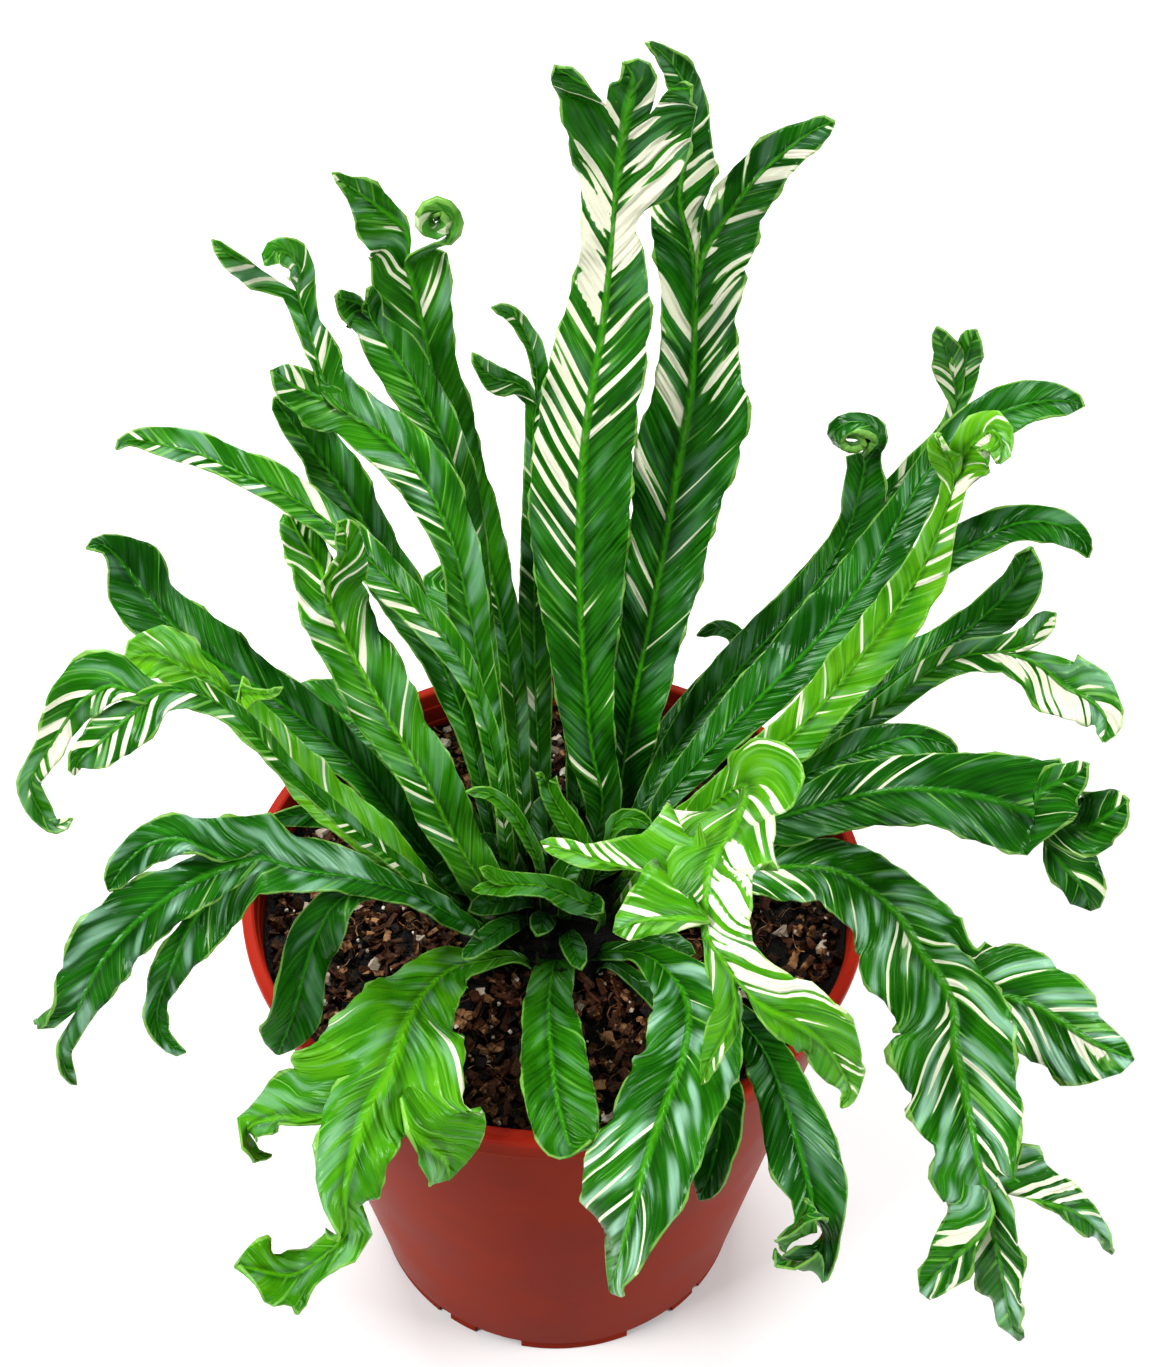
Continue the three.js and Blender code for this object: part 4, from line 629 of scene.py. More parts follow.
class Spine:
    """A frond's spine with its frame and half widths, read by distance along it."""

    def __init__(self, rows, face, curl):
        self.points = smooth_points([row["point"] for row in rows])
        self.tangents = tangents_of(self.points)
        flat = normals_of(self.tangents, face, curl)
        self.sizes = smooth_points([(row["left"], row["right"], row["roll"]) for row in rows])
        roll = np.radians(self.sizes[:, 2:])
        self.normals = flat * np.cos(roll) + np.cross(self.tangents, flat) * np.sin(roll)
        steps = np.linalg.norm(np.diff(self.points, axis=0), axis=1)
        self.distances = np.concatenate([[0], np.cumsum(steps)])
        self.length = self.distances[-1]

    def at(self, distance):
        def between(values):
            return np.array([np.interp(distance, self.distances, values[:, k])
                             for k in range(values.shape[1])])
        tangent = unit(between(self.tangents))
        normal = across_tangent(between(self.normals), tangent)
        left, right, roll = between(self.sizes)
        return dict(point=between(self.points), tangent=tangent, normal=normal,
                    side=np.cross(tangent, normal), left=max(left, LEAST_BETWEEN_ROWS),
                    right=max(right, LEAST_BETWEEN_ROWS), roll=roll)


def pixels_per_millimetre(point, side, tangent):
    """How many pixels a millimetre across the blade measures, square to the frond as seen."""
    origin, ahead, beside = seen_at([point, point + tangent, point + side])
    along, across = unit(ahead - origin), beside - origin
    head_on = FOCAL_PX / (point - EYE).dot(EYE_FORWARD)
    turned = abs(across[0] * along[1] - across[1] * along[0])
    return max(turned, LEAST_FORESHORTENING * head_on)


def measured_rows(route, before, face, curl, to_depth):
    """Turns traced rows into rows of the real size."""
    points = [sight_point(row[0], row[1], to_depth(row[2])) for row in route]
    lead = [] if before is None else [before]
    tangents = tangents_of(smooth_points(lead + points))
    normals = normals_of(tangents, face, curl)
    rows = []
    for i, row in enumerate(route):
        k = (i + len(lead)) * SPINE_STEPS
        side = np.cross(tangents[k], normals[k])
        scale = pixels_per_millimetre(points[i], side, tangents[k])
        rows.append(dict(point=points[i], left=max(row[3] / scale, LEAST_HALF_WIDTH),
                         right=max(row[4] / scale, LEAST_HALF_WIDTH), roll=0))
    return rows


def coil_rows(coil, to_depth):
    """A coil's rows: the blade on edge, wound in the plane that faces the eye."""
    count = math.floor(coil["turns"] * COIL_STEPS)
    rows = []
    for i in range(count + 1):
        angle = math.radians(coil["start"] + 360 / COIL_STEPS * i)
        shrink = 1 - COIL_SHRINK * i / count
        across = coil["center"][0] + coil["radii"][0] * shrink * math.cos(angle)
        down = coil["center"][1] - coil["radii"][1] * shrink * math.sin(angle)
        width = coil["half_width"] * (1 - COIL_NARROWING * i / count)
        rows.append(dict(point=sight_point(across, down, to_depth(coil["depth"])),
                         left=width, right=width, roll=90 if i else 60))
    return rows


def measure_lobe(traced, parent_rows, face, to_depth):
    before = parent_rows[-1]["point"]
    rows = measured_rows(traced["route"], before, face, traced["curl"], to_depth)
    if traced["coil"]:
        rows += coil_rows(traced["coil"], to_depth)
    lobes = [measure_lobe(after, rows, face, to_depth) for after in traced["lobes"]]
    return dict(traced, rows=rows, lobes=lobes)


def measure_frond(traced):
    face = face_vector(traced["heading"])
    first_depth = traced["route"][0][2]

    def to_depth(depth):
        return first_depth + (depth - first_depth) * traced["reach"]

    if traced["measured"]:
        rows = [dict(point=np.array(row[:3], float), left=row[3], right=row[4], roll=0)
                for row in traced["route"]]
    else:
        rows = measured_rows(traced["route"], None, face, False, to_depth)
    least, most = STEM_HALF_WIDTHS
    width = min(max(STEM_SHARE * (rows[0]["left"] + rows[0]["right"]), least), most)
    foot = np.array([traced["stem"][0], traced["stem"][1], STEM_FOOT], float)
    rows.insert(0, dict(point=foot, left=width, right=width, roll=0))
    lobes = [measure_lobe(after, rows, face, to_depth) for after in traced["lobes"]]
    return dict(traced, rows=rows, lobes=lobes, face=face, curl=False)


def wave_phase(name):
    """Shifts the waves of one frond against those of the next."""
    return 0.37 + 0.7 * sum(int(digit) for digit in name)


# How each frond is coloured. cream: share of cream streaks. pale: share of light green streaks.
# yellow: how far the green leans to yellow. silver: strength of the painted sheen, a pale painted
# highlight between the veins.
# ruffle: height of the margin's small waves in mm.
PLAIN_LOOK = dict(cream=0.0, pale=0.05, yellow=0.15, painted_sheen_strength=0.2, ruffle=0.8)
LOOKS = {
    "01": dict(cream=0.04, pale=0.06, yellow=0.1, painted_sheen_strength=0.12),
    "02": dict(cream=0.04, pale=0.06, yellow=0.0, painted_sheen_strength=0.15),
    "03": dict(cream=0.1, pale=0.15, yellow=0.2),
    "04": dict(cream=0.05, pale=0.15, yellow=0.3, painted_sheen_strength=0.4),
    "05": dict(cream=0.04, pale=0.12, yellow=0.2),
    "06": dict(cream=0.03, pale=0.15, yellow=0.3, painted_sheen_strength=0.4),
    "08": dict(cream=0.06, pale=0.2, yellow=0.3, painted_sheen_strength=0.35),
    "09": dict(cream=0.06, pale=0.15, yellow=0.1),
    "11": dict(cream=0.08, pale=0.3, yellow=0.9),
    "12": dict(cream=0.1, pale=0.2, yellow=0.25, painted_sheen_strength=0.3),
    "13": dict(cream=0.02, pale=0.06, yellow=0.1, painted_sheen_strength=0.55),
    "16": dict(cream=0.02, pale=0.12, yellow=0.45, painted_sheen_strength=0.3),
    "17": dict(cream=0.0, pale=0.05, yellow=0.4),
    "18": dict(cream=0.02, pale=0.08, yellow=0.15, painted_sheen_strength=0.8),
    "21": dict(cream=0.13, pale=0.25, yellow=0.55, painted_sheen_strength=0.25),
    "22": dict(cream=0.06, pale=0.12, yellow=0.15, painted_sheen_strength=0.75),
    "23": dict(cream=0.03, pale=0.08, yellow=0.15),
    "25": dict(cream=0.05, pale=0.25, yellow=0.8),
    "29": dict(cream=0.06, pale=0.12, yellow=0.25, painted_sheen_strength=0.4),
    "31": dict(cream=0.1, pale=0.35, yellow=0.7),
}

# Cream patches seen on the fronds: px across, px down, radius in px, share of cream there
CREAM_PATCHES = {
    "01": [(592, 172, 12, 0.85), (588, 235, 17, 1), (590, 262, 15, 1), (593, 292, 10, 0.9),
           (599, 312, 8, 0.9), (625, 215, 17, 1), (620, 240, 14, 1), (616, 262, 8, 0.9),
           (634, 203, 14, 1), (652, 190, 13, 1), (668, 175, 11, 0.95), (672, 148, 11, 0.85),
           (652, 152, 10, 0.85), (643, 125, 8, 0.8), (618, 135, 8, 0.95), (619, 165, 9, 0.95),
           (613, 115, 6, 0.8), (657, 88, 8, 0.85), (632, 82, 7, 0.75), (600, 195, 12, 1),
           (592, 205, 12, 1), (586, 258, 13, 1), (630, 228, 11, 1), (634, 252, 10, 1),
           (575, 320, 32, 0.45), (565, 390, 36, 0.4), (632, 305, 28, 0.35), (622, 385, 36, 0.35),
           (548, 430, 22, 0.45), (550, 480, 26, 0.3), (612, 455, 28, 0.25), (556, 550, 28, 0.16),
           (555, 610, 24, 0.2), (605, 560, 28, 0.12)],
    "02": [(690, 215, 10, 0.9), (695, 245, 8, 0.9), (693, 180, 9, 0.7), (708, 165, 9, 0.8),
           (712, 190, 7, 0.7), (650, 215, 12, 0.3), (655, 285, 14, 0.4), (668, 335, 17, 0.45),
           (670, 385, 22, 0.5), (725, 315, 18, 0.6), (712, 335, 16, 0.65), (722, 370, 13, 0.7),
           (738, 262, 14, 0.65), (730, 280, 12, 0.4), (755, 210, 12, 0.35), (790, 165, 18, 0.65),
           (775, 172, 10, 0.6), (820, 130, 12, 0.5), (762, 145, 8, 0.4), (648, 480, 18, 0.3),
           (644, 540, 15, 0.4), (640, 580, 11, 0.4), (700, 517, 15, 0.25), (640, 90, 12, 0.3),
           (700, 120, 8, 0.4)],
    "04": [(430, 300, 22, 0.4), (395, 250, 18, 0.35), (355, 195, 12, 0.3)],
    "06": [(318, 360, 16, 0.6), (310, 400, 20, 0.3), (250, 268, 14, 0.5)],
    "08": [(170, 455, 26, 0.4), (300, 480, 24, 0.35)],
    "09": [(352, 640, 22, 0.5), (300, 530, 16, 0.5), (330, 600, 16, 0.3)],
    "12": [(90, 745, 26, 0.5), (60, 745, 22, 0.5), (120, 700, 22, 0.45)],
    "14": [(170, 890, 24, 0.2)],
    "16": [(455, 1080, 20, 0.35), (300, 1110, 14, 0.2)],
    "18": [(600, 1150, 16, 0.35), (640, 1120, 20, 0.2), (610, 1200, 14, 0.3)],
    "21": [(660, 820, 26, 0.7), (783, 820, 18, 0.6), (745, 868, 18, 0.7), (735, 905, 20, 0.75),
           (735, 940, 20, 0.75), (800, 975, 26, 0.75), (590, 857, 20, 0.65), (842, 1070, 14, 0.7),
           (640, 920, 16, 0.6), (712, 1060, 13, 0.6)],
    "22": [(780, 870, 30, 0.45), (840, 885, 22, 0.4), (905, 935, 26, 0.4), (960, 985, 30, 0.45),
           (1010, 1015, 26, 0.5), (1080, 1045, 18, 0.6), (945, 1070, 20, 0.45), (970, 1120, 20, 0.5),
           (985, 1160, 18, 0.6), (980, 1230, 18, 0.6), (1050, 1190, 16, 0.6)],
    "25": [(940, 545, 18, 0.6), (925, 575, 16, 0.45), (955, 490, 14, 0.7), (985, 440, 18, 0.5),
           (880, 640, 20, 0.2)],
    "29": [(1040, 675, 24, 0.7), (1060, 695, 30, 0.8), (1095, 700, 28, 0.75), (1105, 735, 12, 0.6),
           (1005, 660, 16, 0.5), (1045, 635, 12, 0.6), (975, 655, 16, 0.4)],
    "31": [(955, 370, 22, 0.5)],
}


class BladeMesh:
    """A closed blade: a grid of points in its middle, given thickness, with a midrib."""

    def __init__(self, name, look):
        self.look = look
        self.shift = PATTERN_SHIFT * int(name)
        self.middles = []
        self.ribs = []
        self.halves = []
        self.quads = []
        self.corners = []
        self.edges = []

    def add_row(self, points, ribs, half_thickness):
        start = len(self.middles)
        self.middles.extend(points)
        self.ribs.extend(ribs)
        self.halves.extend([half_thickness] * len(points))
        return list(range(start, start + len(points)))

    def join(self, row, next_row, marks, next_marks):
        """The strips between two rows, and the two margins beside them."""
        strips = len(row) - 1
        for j in range(strips):
            self.quads.append((row[j], row[j + 1], next_row[j + 1], next_row[j]))
            self.corners.append((marks[j], marks[j + 1], next_marks[j + 1], next_marks[j]))
        self.edges.append((next_row[0], row[0], next_marks[0], marks[0]))
        self.edges.append((row[strips], next_row[strips], marks[strips], next_marks[strips]))

    def close(self, row, marks, at_start):
        for j in range(len(row) - 1):
            a, b = (j, j + 1) if at_start else (j + 1, j)
            self.edges.append((row[a], row[b], marks[a], marks[b]))


def blade_row(shape, distance, along, strips, phase, ruffle, tip, frill):
    """One row of a blade: its points, its rib heights, and what its material reads."""
    u = np.linspace(-1, 1, strips + 1)
    half = np.where(u < 0, shape["left"], shape["right"])
    side_shift = np.where(u < 0, 0.0, WAVE_SHIFT_ACROSS)
    offset = u * half
    center = strips // 2
    if strips % 2 == 0:
        for j, sign in ((center - 1, -1), (center + 1, 1)):
            offset[j] = sign * min(abs(offset[j]), MIDRIB_STRIP)
    u = offset / half
    fine, coarse, middling = FRILL_LENGTHS
    wobble = 1 + frill * (np.sin(along / fine + 2 * side_shift + phase)
                          * np.sin(along / coarse + phase)
                          + 0.5 * np.sin(along / middling + side_shift))
    offset = offset * tip * np.where(np.abs(u) > 0.3, wobble, 1)
    broad = max(shape["left"], shape["right"]) / FULL_WAVE_HALF_WIDTH
    ramp = min(distance / FLAT_FOOT_LENGTH, 1) * min(max(broad, 0.15), 1)
    turn = 2 * math.pi * distance / WAVE_LENGTH + phase + side_shift
    fine_turn = (along / RUFFLE_LENGTH + 3.1 * np.sin(along / 23 + phase)
                 + 2.3 * side_shift)
    lift = (CUPPING * np.abs(offset) * np.sqrt(np.abs(u))
            + WAVE_HEIGHT * u ** 2 * np.sin(turn) * ramp
            + ruffle * u ** 4 * np.sin(fine_turn) * ramp)
    points = (shape["point"] + np.outer(offset, shape["side"])
              + np.outer(lift, shape["normal"]))
    rib = min(1, (shape["left"] + shape["right"]) / 14)
    rib_width = max(0.05 * (shape["left"] + shape["right"]), 0.35)
    ribs = rib * np.exp(-(offset / MIDRIB_SPREAD) ** 2)
    marks = np.stack([offset, np.full_like(offset, along), half * tip - np.abs(offset),
                      np.full_like(offset, rib_width)], axis=1)
    return points, ribs, marks


def grow_blade(mesh, blade, face, shared, shared_marks, strips, fineness, start, phase):
    """Adds a blade and, at its fork, its lobes, which share the fork's row of points."""
    spine = Spine(blade["rows"], face, blade["curl"])
    steps = max(3, round(spine.length / ROW_SPACING))
    ends_in_tip = not blade["lobes"]
    last = spine.at(spine.length)
    tip_length = TIP_ROUNDING * max(last["left"], last["right"])
    wave_start = phase + 2 * math.pi * start / WAVE_LENGTH
    row, marks, corrections, mark_shift = None, None, None, None
    for i in range(steps + 1):
        distance = spine.length * i / steps
        tip = 1.0
        if ends_in_tip and spine.length - distance < tip_length:
            t = 1 - (spine.length - distance) / tip_length
            tip = max(math.sqrt(max(1 - t * t, 0)), TIP_LEAST)
        crest = min(distance / CREST_LENGTH, 1) if shared else 0
        place = spine.at(distance)
        coiled = smooth_step(place["roll"], 20, 85)
        points, ribs, next_marks = blade_row(
            place, distance, start + distance, strips, wave_start,
            mesh.look["ruffle"] * (1 + 1.2 * crest), tip, FRILL + FRILL * crest)
        if i == 0 and shared:
            corrections = np.array(mesh.middles)[shared] - points
            mark_shift = shared_marks - next_marks
            row, marks = shared, shared_marks
            continue
        if corrections is not None:
            points = points + corrections * (1 - smooth_step(distance, 0, FORK_BLEND))
            branch = 1 - smooth_step(distance, 0, min(RIB_BRANCH, 0.9 * spine.length))
            seam = 1 - smooth_step(distance, 0, FORK_SEAM)
            ribs = ribs * (1 - branch)
            next_marks = next_marks + mark_shift * (branch, branch, seam, branch)
        half_thickness = BLADE / 2 * (1 - coiled) + COIL_BLADE / 2 * coiled
        next_row = mesh.add_row(points, ribs, half_thickness)
        if i == 0:
            mesh.close(next_row, next_marks, at_start=True)
        else:
            mesh.join(row, next_row, marks, next_marks)
        row, marks = next_row, next_marks
    if ends_in_tip:
        mesh.close(row, marks, at_start=False)
    for after in blade["lobes"]:
        first, end = after["first"], after["last"]
        part = row[first * fineness:end * fineness + 1]
        part_marks = marks[first * fineness:end * fineness + 1]
        middle = mesh.middles[part[((end - first) >> 1) * fineness]]
        left, right = (max(np.linalg.norm(mesh.middles[part[k]] - middle),
                           LEAST_FORK_HALF_WIDTH) for k in (0, -1))
        first_row = dict(point=middle, left=left, right=right, roll=0)
        grown = dict(after, rows=[first_row] + after["rows"])
        lobe_face = spine.normals[-1] if after["curl"] else face
        grow_blade(mesh, grown, lobe_face, part, part_marks, (end - first) * fineness,
                   fineness, start + spine.length, phase)


def mesh_object(name, points, faces):
    """An object made from points in millimetres from the pot's axis."""
    data = bpy.data.meshes.new(name)
    data.from_pydata((np.array(points) * MM + AXIS).tolist(), [], faces)
    item = bpy.data.objects.new(name, data)
    bpy.context.scene.collection.objects.link(item)
    return item


def vertex_normals(points, quads):
    a, b, c, d = (points[quads[:, k]] for k in range(4))
    flat = np.cross(c - a, d - b)
    normals = np.zeros_like(points)
    for k in range(4):
        np.add.at(normals, quads[:, k], flat)
    return normals / np.maximum(np.linalg.norm(normals, axis=1), 1e-9)[:, None]


def make_frond(traced):
    """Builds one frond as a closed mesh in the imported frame, with what its material reads."""
    name = traced["name"]
    look = dict(PLAIN_LOOK, **LOOKS.get(name, {}))
    measured = measure_frond(traced)
    mesh = BladeMesh(name, look)
    fineness = FINE_STRIPS[traced["columns"]]
    grow_blade(mesh, measured, measured["face"], None, None, traced["columns"] * fineness,
               fineness, 0, wave_phase(name))
    middles = np.array(mesh.middles)
    quads = np.array(mesh.quads)
    ribs = np.array(mesh.ribs)[:, None]
    halves = np.array(mesh.halves)[:, None]
    normals = vertex_normals(middles, quads)
    upper = middles + normals * (halves + MIDRIB_ABOVE * ribs)
    lower = middles - normals * (halves + MIDRIB_BELOW * ribs)
    n = len(middles)
    edges = mesh.edges
    faces = np.vstack([quads, quads[:, ::-1] + n,
                       [(b, a, a + n, b + n) for a, b, _, _ in edges]])
    upper_marks = np.array(mesh.corners)
    edge_marks = np.array([(mb, ma, ma, mb) for _, _, ma, mb in edges])
    marks = np.vstack([upper_marks, upper_marks[:, ::-1], edge_marks])
    under = np.repeat([0.0, 1.0, 0.5], [len(quads), len(quads), len(edges)])
    item = mesh_object("blade_" + name, np.vstack([upper, lower]), faces.tolist())

    marks = marks.reshape(-1, 4)
    # Painted shade at the foot of the frond, deep in the nest
    foot = 1 - smooth_step(marks[:, 1], *FOOT_SHADE_FADE)
    corner_points = np.vstack([middles, middles])[faces.ravel()]
    cream = cream_shares(name, corner_points, marks, look["cream"])
    pale, yellow, painted_sheen_strength = (np.full(len(marks), look[key])
                            for key in ("pale", "yellow", "painted_sheen_strength"))
    set_corner_values(item, "blade", marks[:, :3] + (0, mesh.shift, 0))
    set_corner_values(item, "tint", np.stack([cream, pale, yellow], axis=1))
    # Strength of the painted sheen, a pale painted highlight, for each corner
    set_corner_values(item, "bloom", np.stack([painted_sheen_strength, painted_sheen_strength, painted_sheen_strength], axis=1))
    set_corner_values(item, "ribs", np.stack([foot, np.repeat(under, 4), marks[:, 3]], axis=1))
    for polygon in item.data.polygons:
        polygon.use_smooth = True
    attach(item, ROOT)
    if int(name) <= LAST_PACKED:
        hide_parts("frond_" + name)
    return item


def vein_place(across, along):
    """How far along the blade the side vein that crosses a place leaves the midrib."""
    distance = np.abs(across)
    return along - distance * (VEIN_SLOPE + VEIN_CURVE * distance)


def cream_shares(name, points, marks, share):
    """The share of cream streaks at each corner, raised near the patches seen on that frond.

    A patch is drawn out along the side veins, on its own side of the midrib."""
    shares = np.full(len(points), share)
    seen = seen_at(points)
    solid, gone = PATCH_REACH
    across = marks[:, 0]
    veins = vein_place(across, marks[:, 1])
    for right, down, radius, amount in CREAM_PATCHES.get(name, []):
        apart = np.linalg.norm(seen - (right, down), axis=1)
        k = int(np.argmin(apart))
        reach = radius * MM_PER_PX
        same_side = smooth_step(across * np.sign(across[k]), -0.5, 0.8)
        off_vein = np.abs(veins - veins[k]) / (PATCH_ALONG * reach)
        off_side = np.abs(across - across[k]) / (PATCH_ACROSS * reach)
        near = (1 - smooth_step(np.hypot(off_vein, off_side), *PATCH_FADE)) * same_side
        near = near * (1 - smooth_step(apart, solid * radius, gone * radius))
        shares = np.maximum(shares, share + (amount - share) * near)
    return shares


def set_corner_values(item, name, values):
    attribute = item.data.attributes.new(name, "FLOAT_VECTOR", "CORNER")
    attribute.data.foreach_set("vector", np.asarray(values, np.float32).ravel())


# Materials
class Nodes:
    """A small helper that adds shader nodes and links them."""

    def __init__(self, name):
        self.material = bpy.data.materials.new(name)
        self.material.use_nodes = True
        self.tree = self.material.node_tree
        self.tree.nodes.clear()
        self.shader = self.add("ShaderNodeBsdfPrincipled")
        output = self.add("ShaderNodeOutputMaterial")
        self.link(self.shader.outputs[0], output.inputs["Surface"])

    def add(self, kind, **settings):
        node = self.tree.nodes.new(kind)
        for key, value in settings.items():
            setattr(node, key, value)
        return node

    def link(self, source, target):
        if isinstance(source, (int, float, tuple)):
            target.default_value = source
        else:
            self.tree.links.new(source, target)

    def math(self, operation, *values):
        node = self.add("ShaderNodeMath", operation=operation)
        for value, socket in zip(values, node.inputs):
            self.link(value, socket)
        return node.outputs[0]

    def vector(self, x, y, z):
        node = self.add("ShaderNodeCombineXYZ")
        for value, socket in zip((x, y, z), node.inputs):
            self.link(value, socket)
        return node.outputs[0]

    def noise(self, vector, scale, detail=2.0, roughness=0.5):
        node = self.add("ShaderNodeTexNoise")
        self.link(vector, node.inputs["Vector"])
        node.inputs["Scale"].default_value = scale
        node.inputs["Detail"].default_value = detail
        node.inputs["Roughness"].default_value = roughness
        return node.outputs["Fac"]

    def ramp(self, value, low, high, to_low=0.0, to_high=1.0, kind="SMOOTHSTEP"):
        node = self.add("ShaderNodeMapRange", interpolation_type=kind)
        for source, socket in zip((value, low, high, to_low, to_high), node.inputs):
            self.link(source, socket)
        return node.outputs[0]

    def blend(self, share, first, second):
        node = self.add("ShaderNodeMix", data_type="RGBA", clamp_factor=True)
        self.link(share, node.inputs[0])
        self.link(first, node.inputs[6])
        self.link(second, node.inputs[7])
        return node.outputs[2]

    def attribute(self, name):
        node = self.add("ShaderNodeAttribute", attribute_type="GEOMETRY", attribute_name=name)
        split = self.add("ShaderNodeSeparateXYZ")
        self.link(node.outputs["Vector"], split.inputs[0])
        return split.outputs

    def bump(self, height, strength, distance, below=None):
        node = self.add("ShaderNodeBump")
        node.inputs["Strength"].default_value = strength
        node.inputs["Distance"].default_value = distance
        self.link(height, node.inputs["Height"])
        if below:
            self.link(below, node.inputs["Normal"])
        return node.outputs[0]


def colour(text):
    """A colour as written for screens, such as 1f5a10, in linear light."""
    parts = [int(text[k:k + 2], 16) / 255 for k in (0, 2, 4)]
    linear = [p / 12.92 if p <= 0.04045 else ((p + 0.055) / 1.055) ** 2.4 for p in parts]
    return (*linear, 1)


CREAM = colour("e4e2cc")
PALE_GREEN = colour("7fbd55")
MARGIN = colour("a3cf6a")
# Colour of the painted shade at the foot of a frond, deep in the nest
FOOT_SHADE_GREEN = colour("14300a")
SHADOW_GREEN = colour("082e05")
# Colour of the painted sheen, a pale painted highlight on the blades
PAINTED_SHEEN_GREEN = colour("9fcbb2")


def leaf_material(name, greens, roughness):
    """Blade: green between fine oblique veins, cream and light green streaks, pale margin."""
    deep, bright, fresh = map(colour, greens)
    n = Nodes(name)
    across, along, edge = n.attribute("blade")
    cream_share, pale_share, yellow = n.attribute("tint")
    foot, under, rib_width = n.attribute("ribs")
    painted_sheen_strength = n.attribute("bloom")[0]
    distance = n.math("ABSOLUTE", across)
    side = n.math("SIGN", across)
    curved = n.math("MULTIPLY", distance, n.math("MULTIPLY_ADD", distance, VEIN_CURVE, VEIN_SLOPE))
    vein = n.math("SUBTRACT", along, curved)
    lane = n.math("MULTIPLY", side, 31.7)

    def streaks(width, length, shift, detail):
        """Noise drawn out along the side veins: width and length of a streak in mm."""
        place = n.vector(n.math("MULTIPLY", vein, 1 / width),
                         n.math("MULTIPLY_ADD", distance, 1 / length, lane), shift)
        return n.noise(place, 1.0, detail=detail, roughness=0.45)

    # Cream and light green streaks between the veins
    wide = streaks(width=3.4, length=34, shift=3.1, detail=0.0)
    none = n.ramp(cream_share, 0.0, 0.03, 0.3, 0.0)
    cream_limit = n.math("MULTIPLY_ADD", cream_share, -0.5, n.math("ADD", none, 0.75))
    cream_mask = n.ramp(n.math("SUBTRACT", wide, cream_limit), -0.004, 0.016)
    cream_fringe = n.ramp(n.math("SUBTRACT", wide, cream_limit), -0.06, 0.0)
    pale_limit = n.ramp(pale_share, 0.0, 1.0, 0.73, 0.3, kind="LINEAR")
    narrow = streaks(width=2.6, length=22, shift=47.9, detail=0.6)
    pale_mask = n.ramp(n.math("SUBTRACT", narrow, pale_limit), -0.02, 0.07)
    # Ground colour, drawn out along the veins as well
    cloud = n.noise(n.vector(n.math("MULTIPLY", across, 0.07),
                             n.math("MULTIPLY", along, 0.035), 9.0), 1.0)
    feather = streaks(width=3.6, length=15, shift=13.3, detail=2.0)
    ground = n.math("MULTIPLY_ADD", feather, 0.4, n.math("MULTIPLY", cloud, 0.6))
    green = n.blend(n.ramp(ground, 0.3, 0.72), deep, bright)
    lush = n.blend(n.ramp(ground, 0.3, 0.74), bright, fresh)
    green = n.blend(yellow, green, lush)
    # Fine side veins, a few millimetres apart
    warp = n.math("MULTIPLY_ADD", feather, 2.4, n.math("MULTIPLY", vein, 2.35))
    vein_wave = n.math("SINE", warp)
    vein_line = n.ramp(vein_wave, 0.88, 1.0)
    vein_fade = n.math("MULTIPLY", vein_line, n.ramp(cloud, 0.35, 0.7, 0.08, 0.4))
    green = n.blend(vein_fade, green, n.blend(0.4, lush, PALE_GREEN))
    # Painted sheen: a pale painted highlight on the swellings between the veins
    swellings = streaks(width=7.5, length=12, shift=21.7, detail=1.2)
    bloom = n.math("MULTIPLY", n.ramp(swellings, 0.5, 0.7), painted_sheen_strength)
    green = n.blend(bloom, green, PAINTED_SHEEN_GREEN)
    # Midrib: a lighter round rib between two grooves, which painted shade darkens
    rib_share = n.math("DIVIDE", distance, rib_width)
    # Painted shade in the two grooves beside the midrib
    painted_groove_shade = n.math("MULTIPLY", n.ramp(rib_share, 0.8, 1.1), n.ramp(rib_share, 1.3, 3.2, 0.42, 0.0))
    rib = n.ramp(rib_share, 0.7, 1.05, 0.92, 0.0)
    green = n.blend(painted_groove_shade, green, SHADOW_GREEN)
    painted = n.blend(n.math("MULTIPLY", pale_mask, 0.6), green, PALE_GREEN)
    painted = n.blend(n.math("MULTIPLY", cream_fringe, 0.45), painted, PALE_GREEN)
    painted = n.blend(cream_mask, painted, CREAM)
    painted = n.blend(rib, painted, n.blend(n.ramp(rib_share, 0.0, 0.8, 0.5, 0.1), bright, fresh))
    margin = n.ramp(edge, 0.05, 0.45, 0.45, 0.0)
    painted = n.blend(margin, painted, MARGIN)
    # Painted shade: the blade darkens towards its foot, deep in the nest
    painted = n.blend(n.math("MULTIPLY", foot, 0.8), painted, FOOT_SHADE_GREEN)
    painted = n.blend(n.math("MULTIPLY", under, 0.4), painted, n.blend(0.6, PALE_GREEN, bright))
    n.link(painted, n.shader.inputs["Base Color"])
    shine = n.ramp(cloud, 0.3, 0.7, roughness - 0.04, roughness + 0.1)
    n.link(n.math("MULTIPLY_ADD", under, 0.2, shine), n.shader.inputs["Roughness"])
    n.shader.inputs["Specular IOR Level"].default_value = 0.24
    n.shader.inputs["Specular Tint"].default_value = colour("dcf5e6")
    # Relief: swellings between the veins, finer wrinkles, and the rounded midrib
    swell = streaks(width=3.6, length=11, shift=71.0, detail=0.8)
    relief = n.bump(swell, 0.9, 0.002)
    relief = n.bump(n.math("MULTIPLY_ADD", vein_wave, 0.5, 0.5), 0.16, 0.0004, relief)
    round_rib = n.ramp(rib_share, 0.0, 1.15, 1.0, 0.0)
    relief = n.bump(round_rib, 0.6, 0.0006, relief)
    n.link(relief, n.shader.inputs["Normal"])
    return n.material


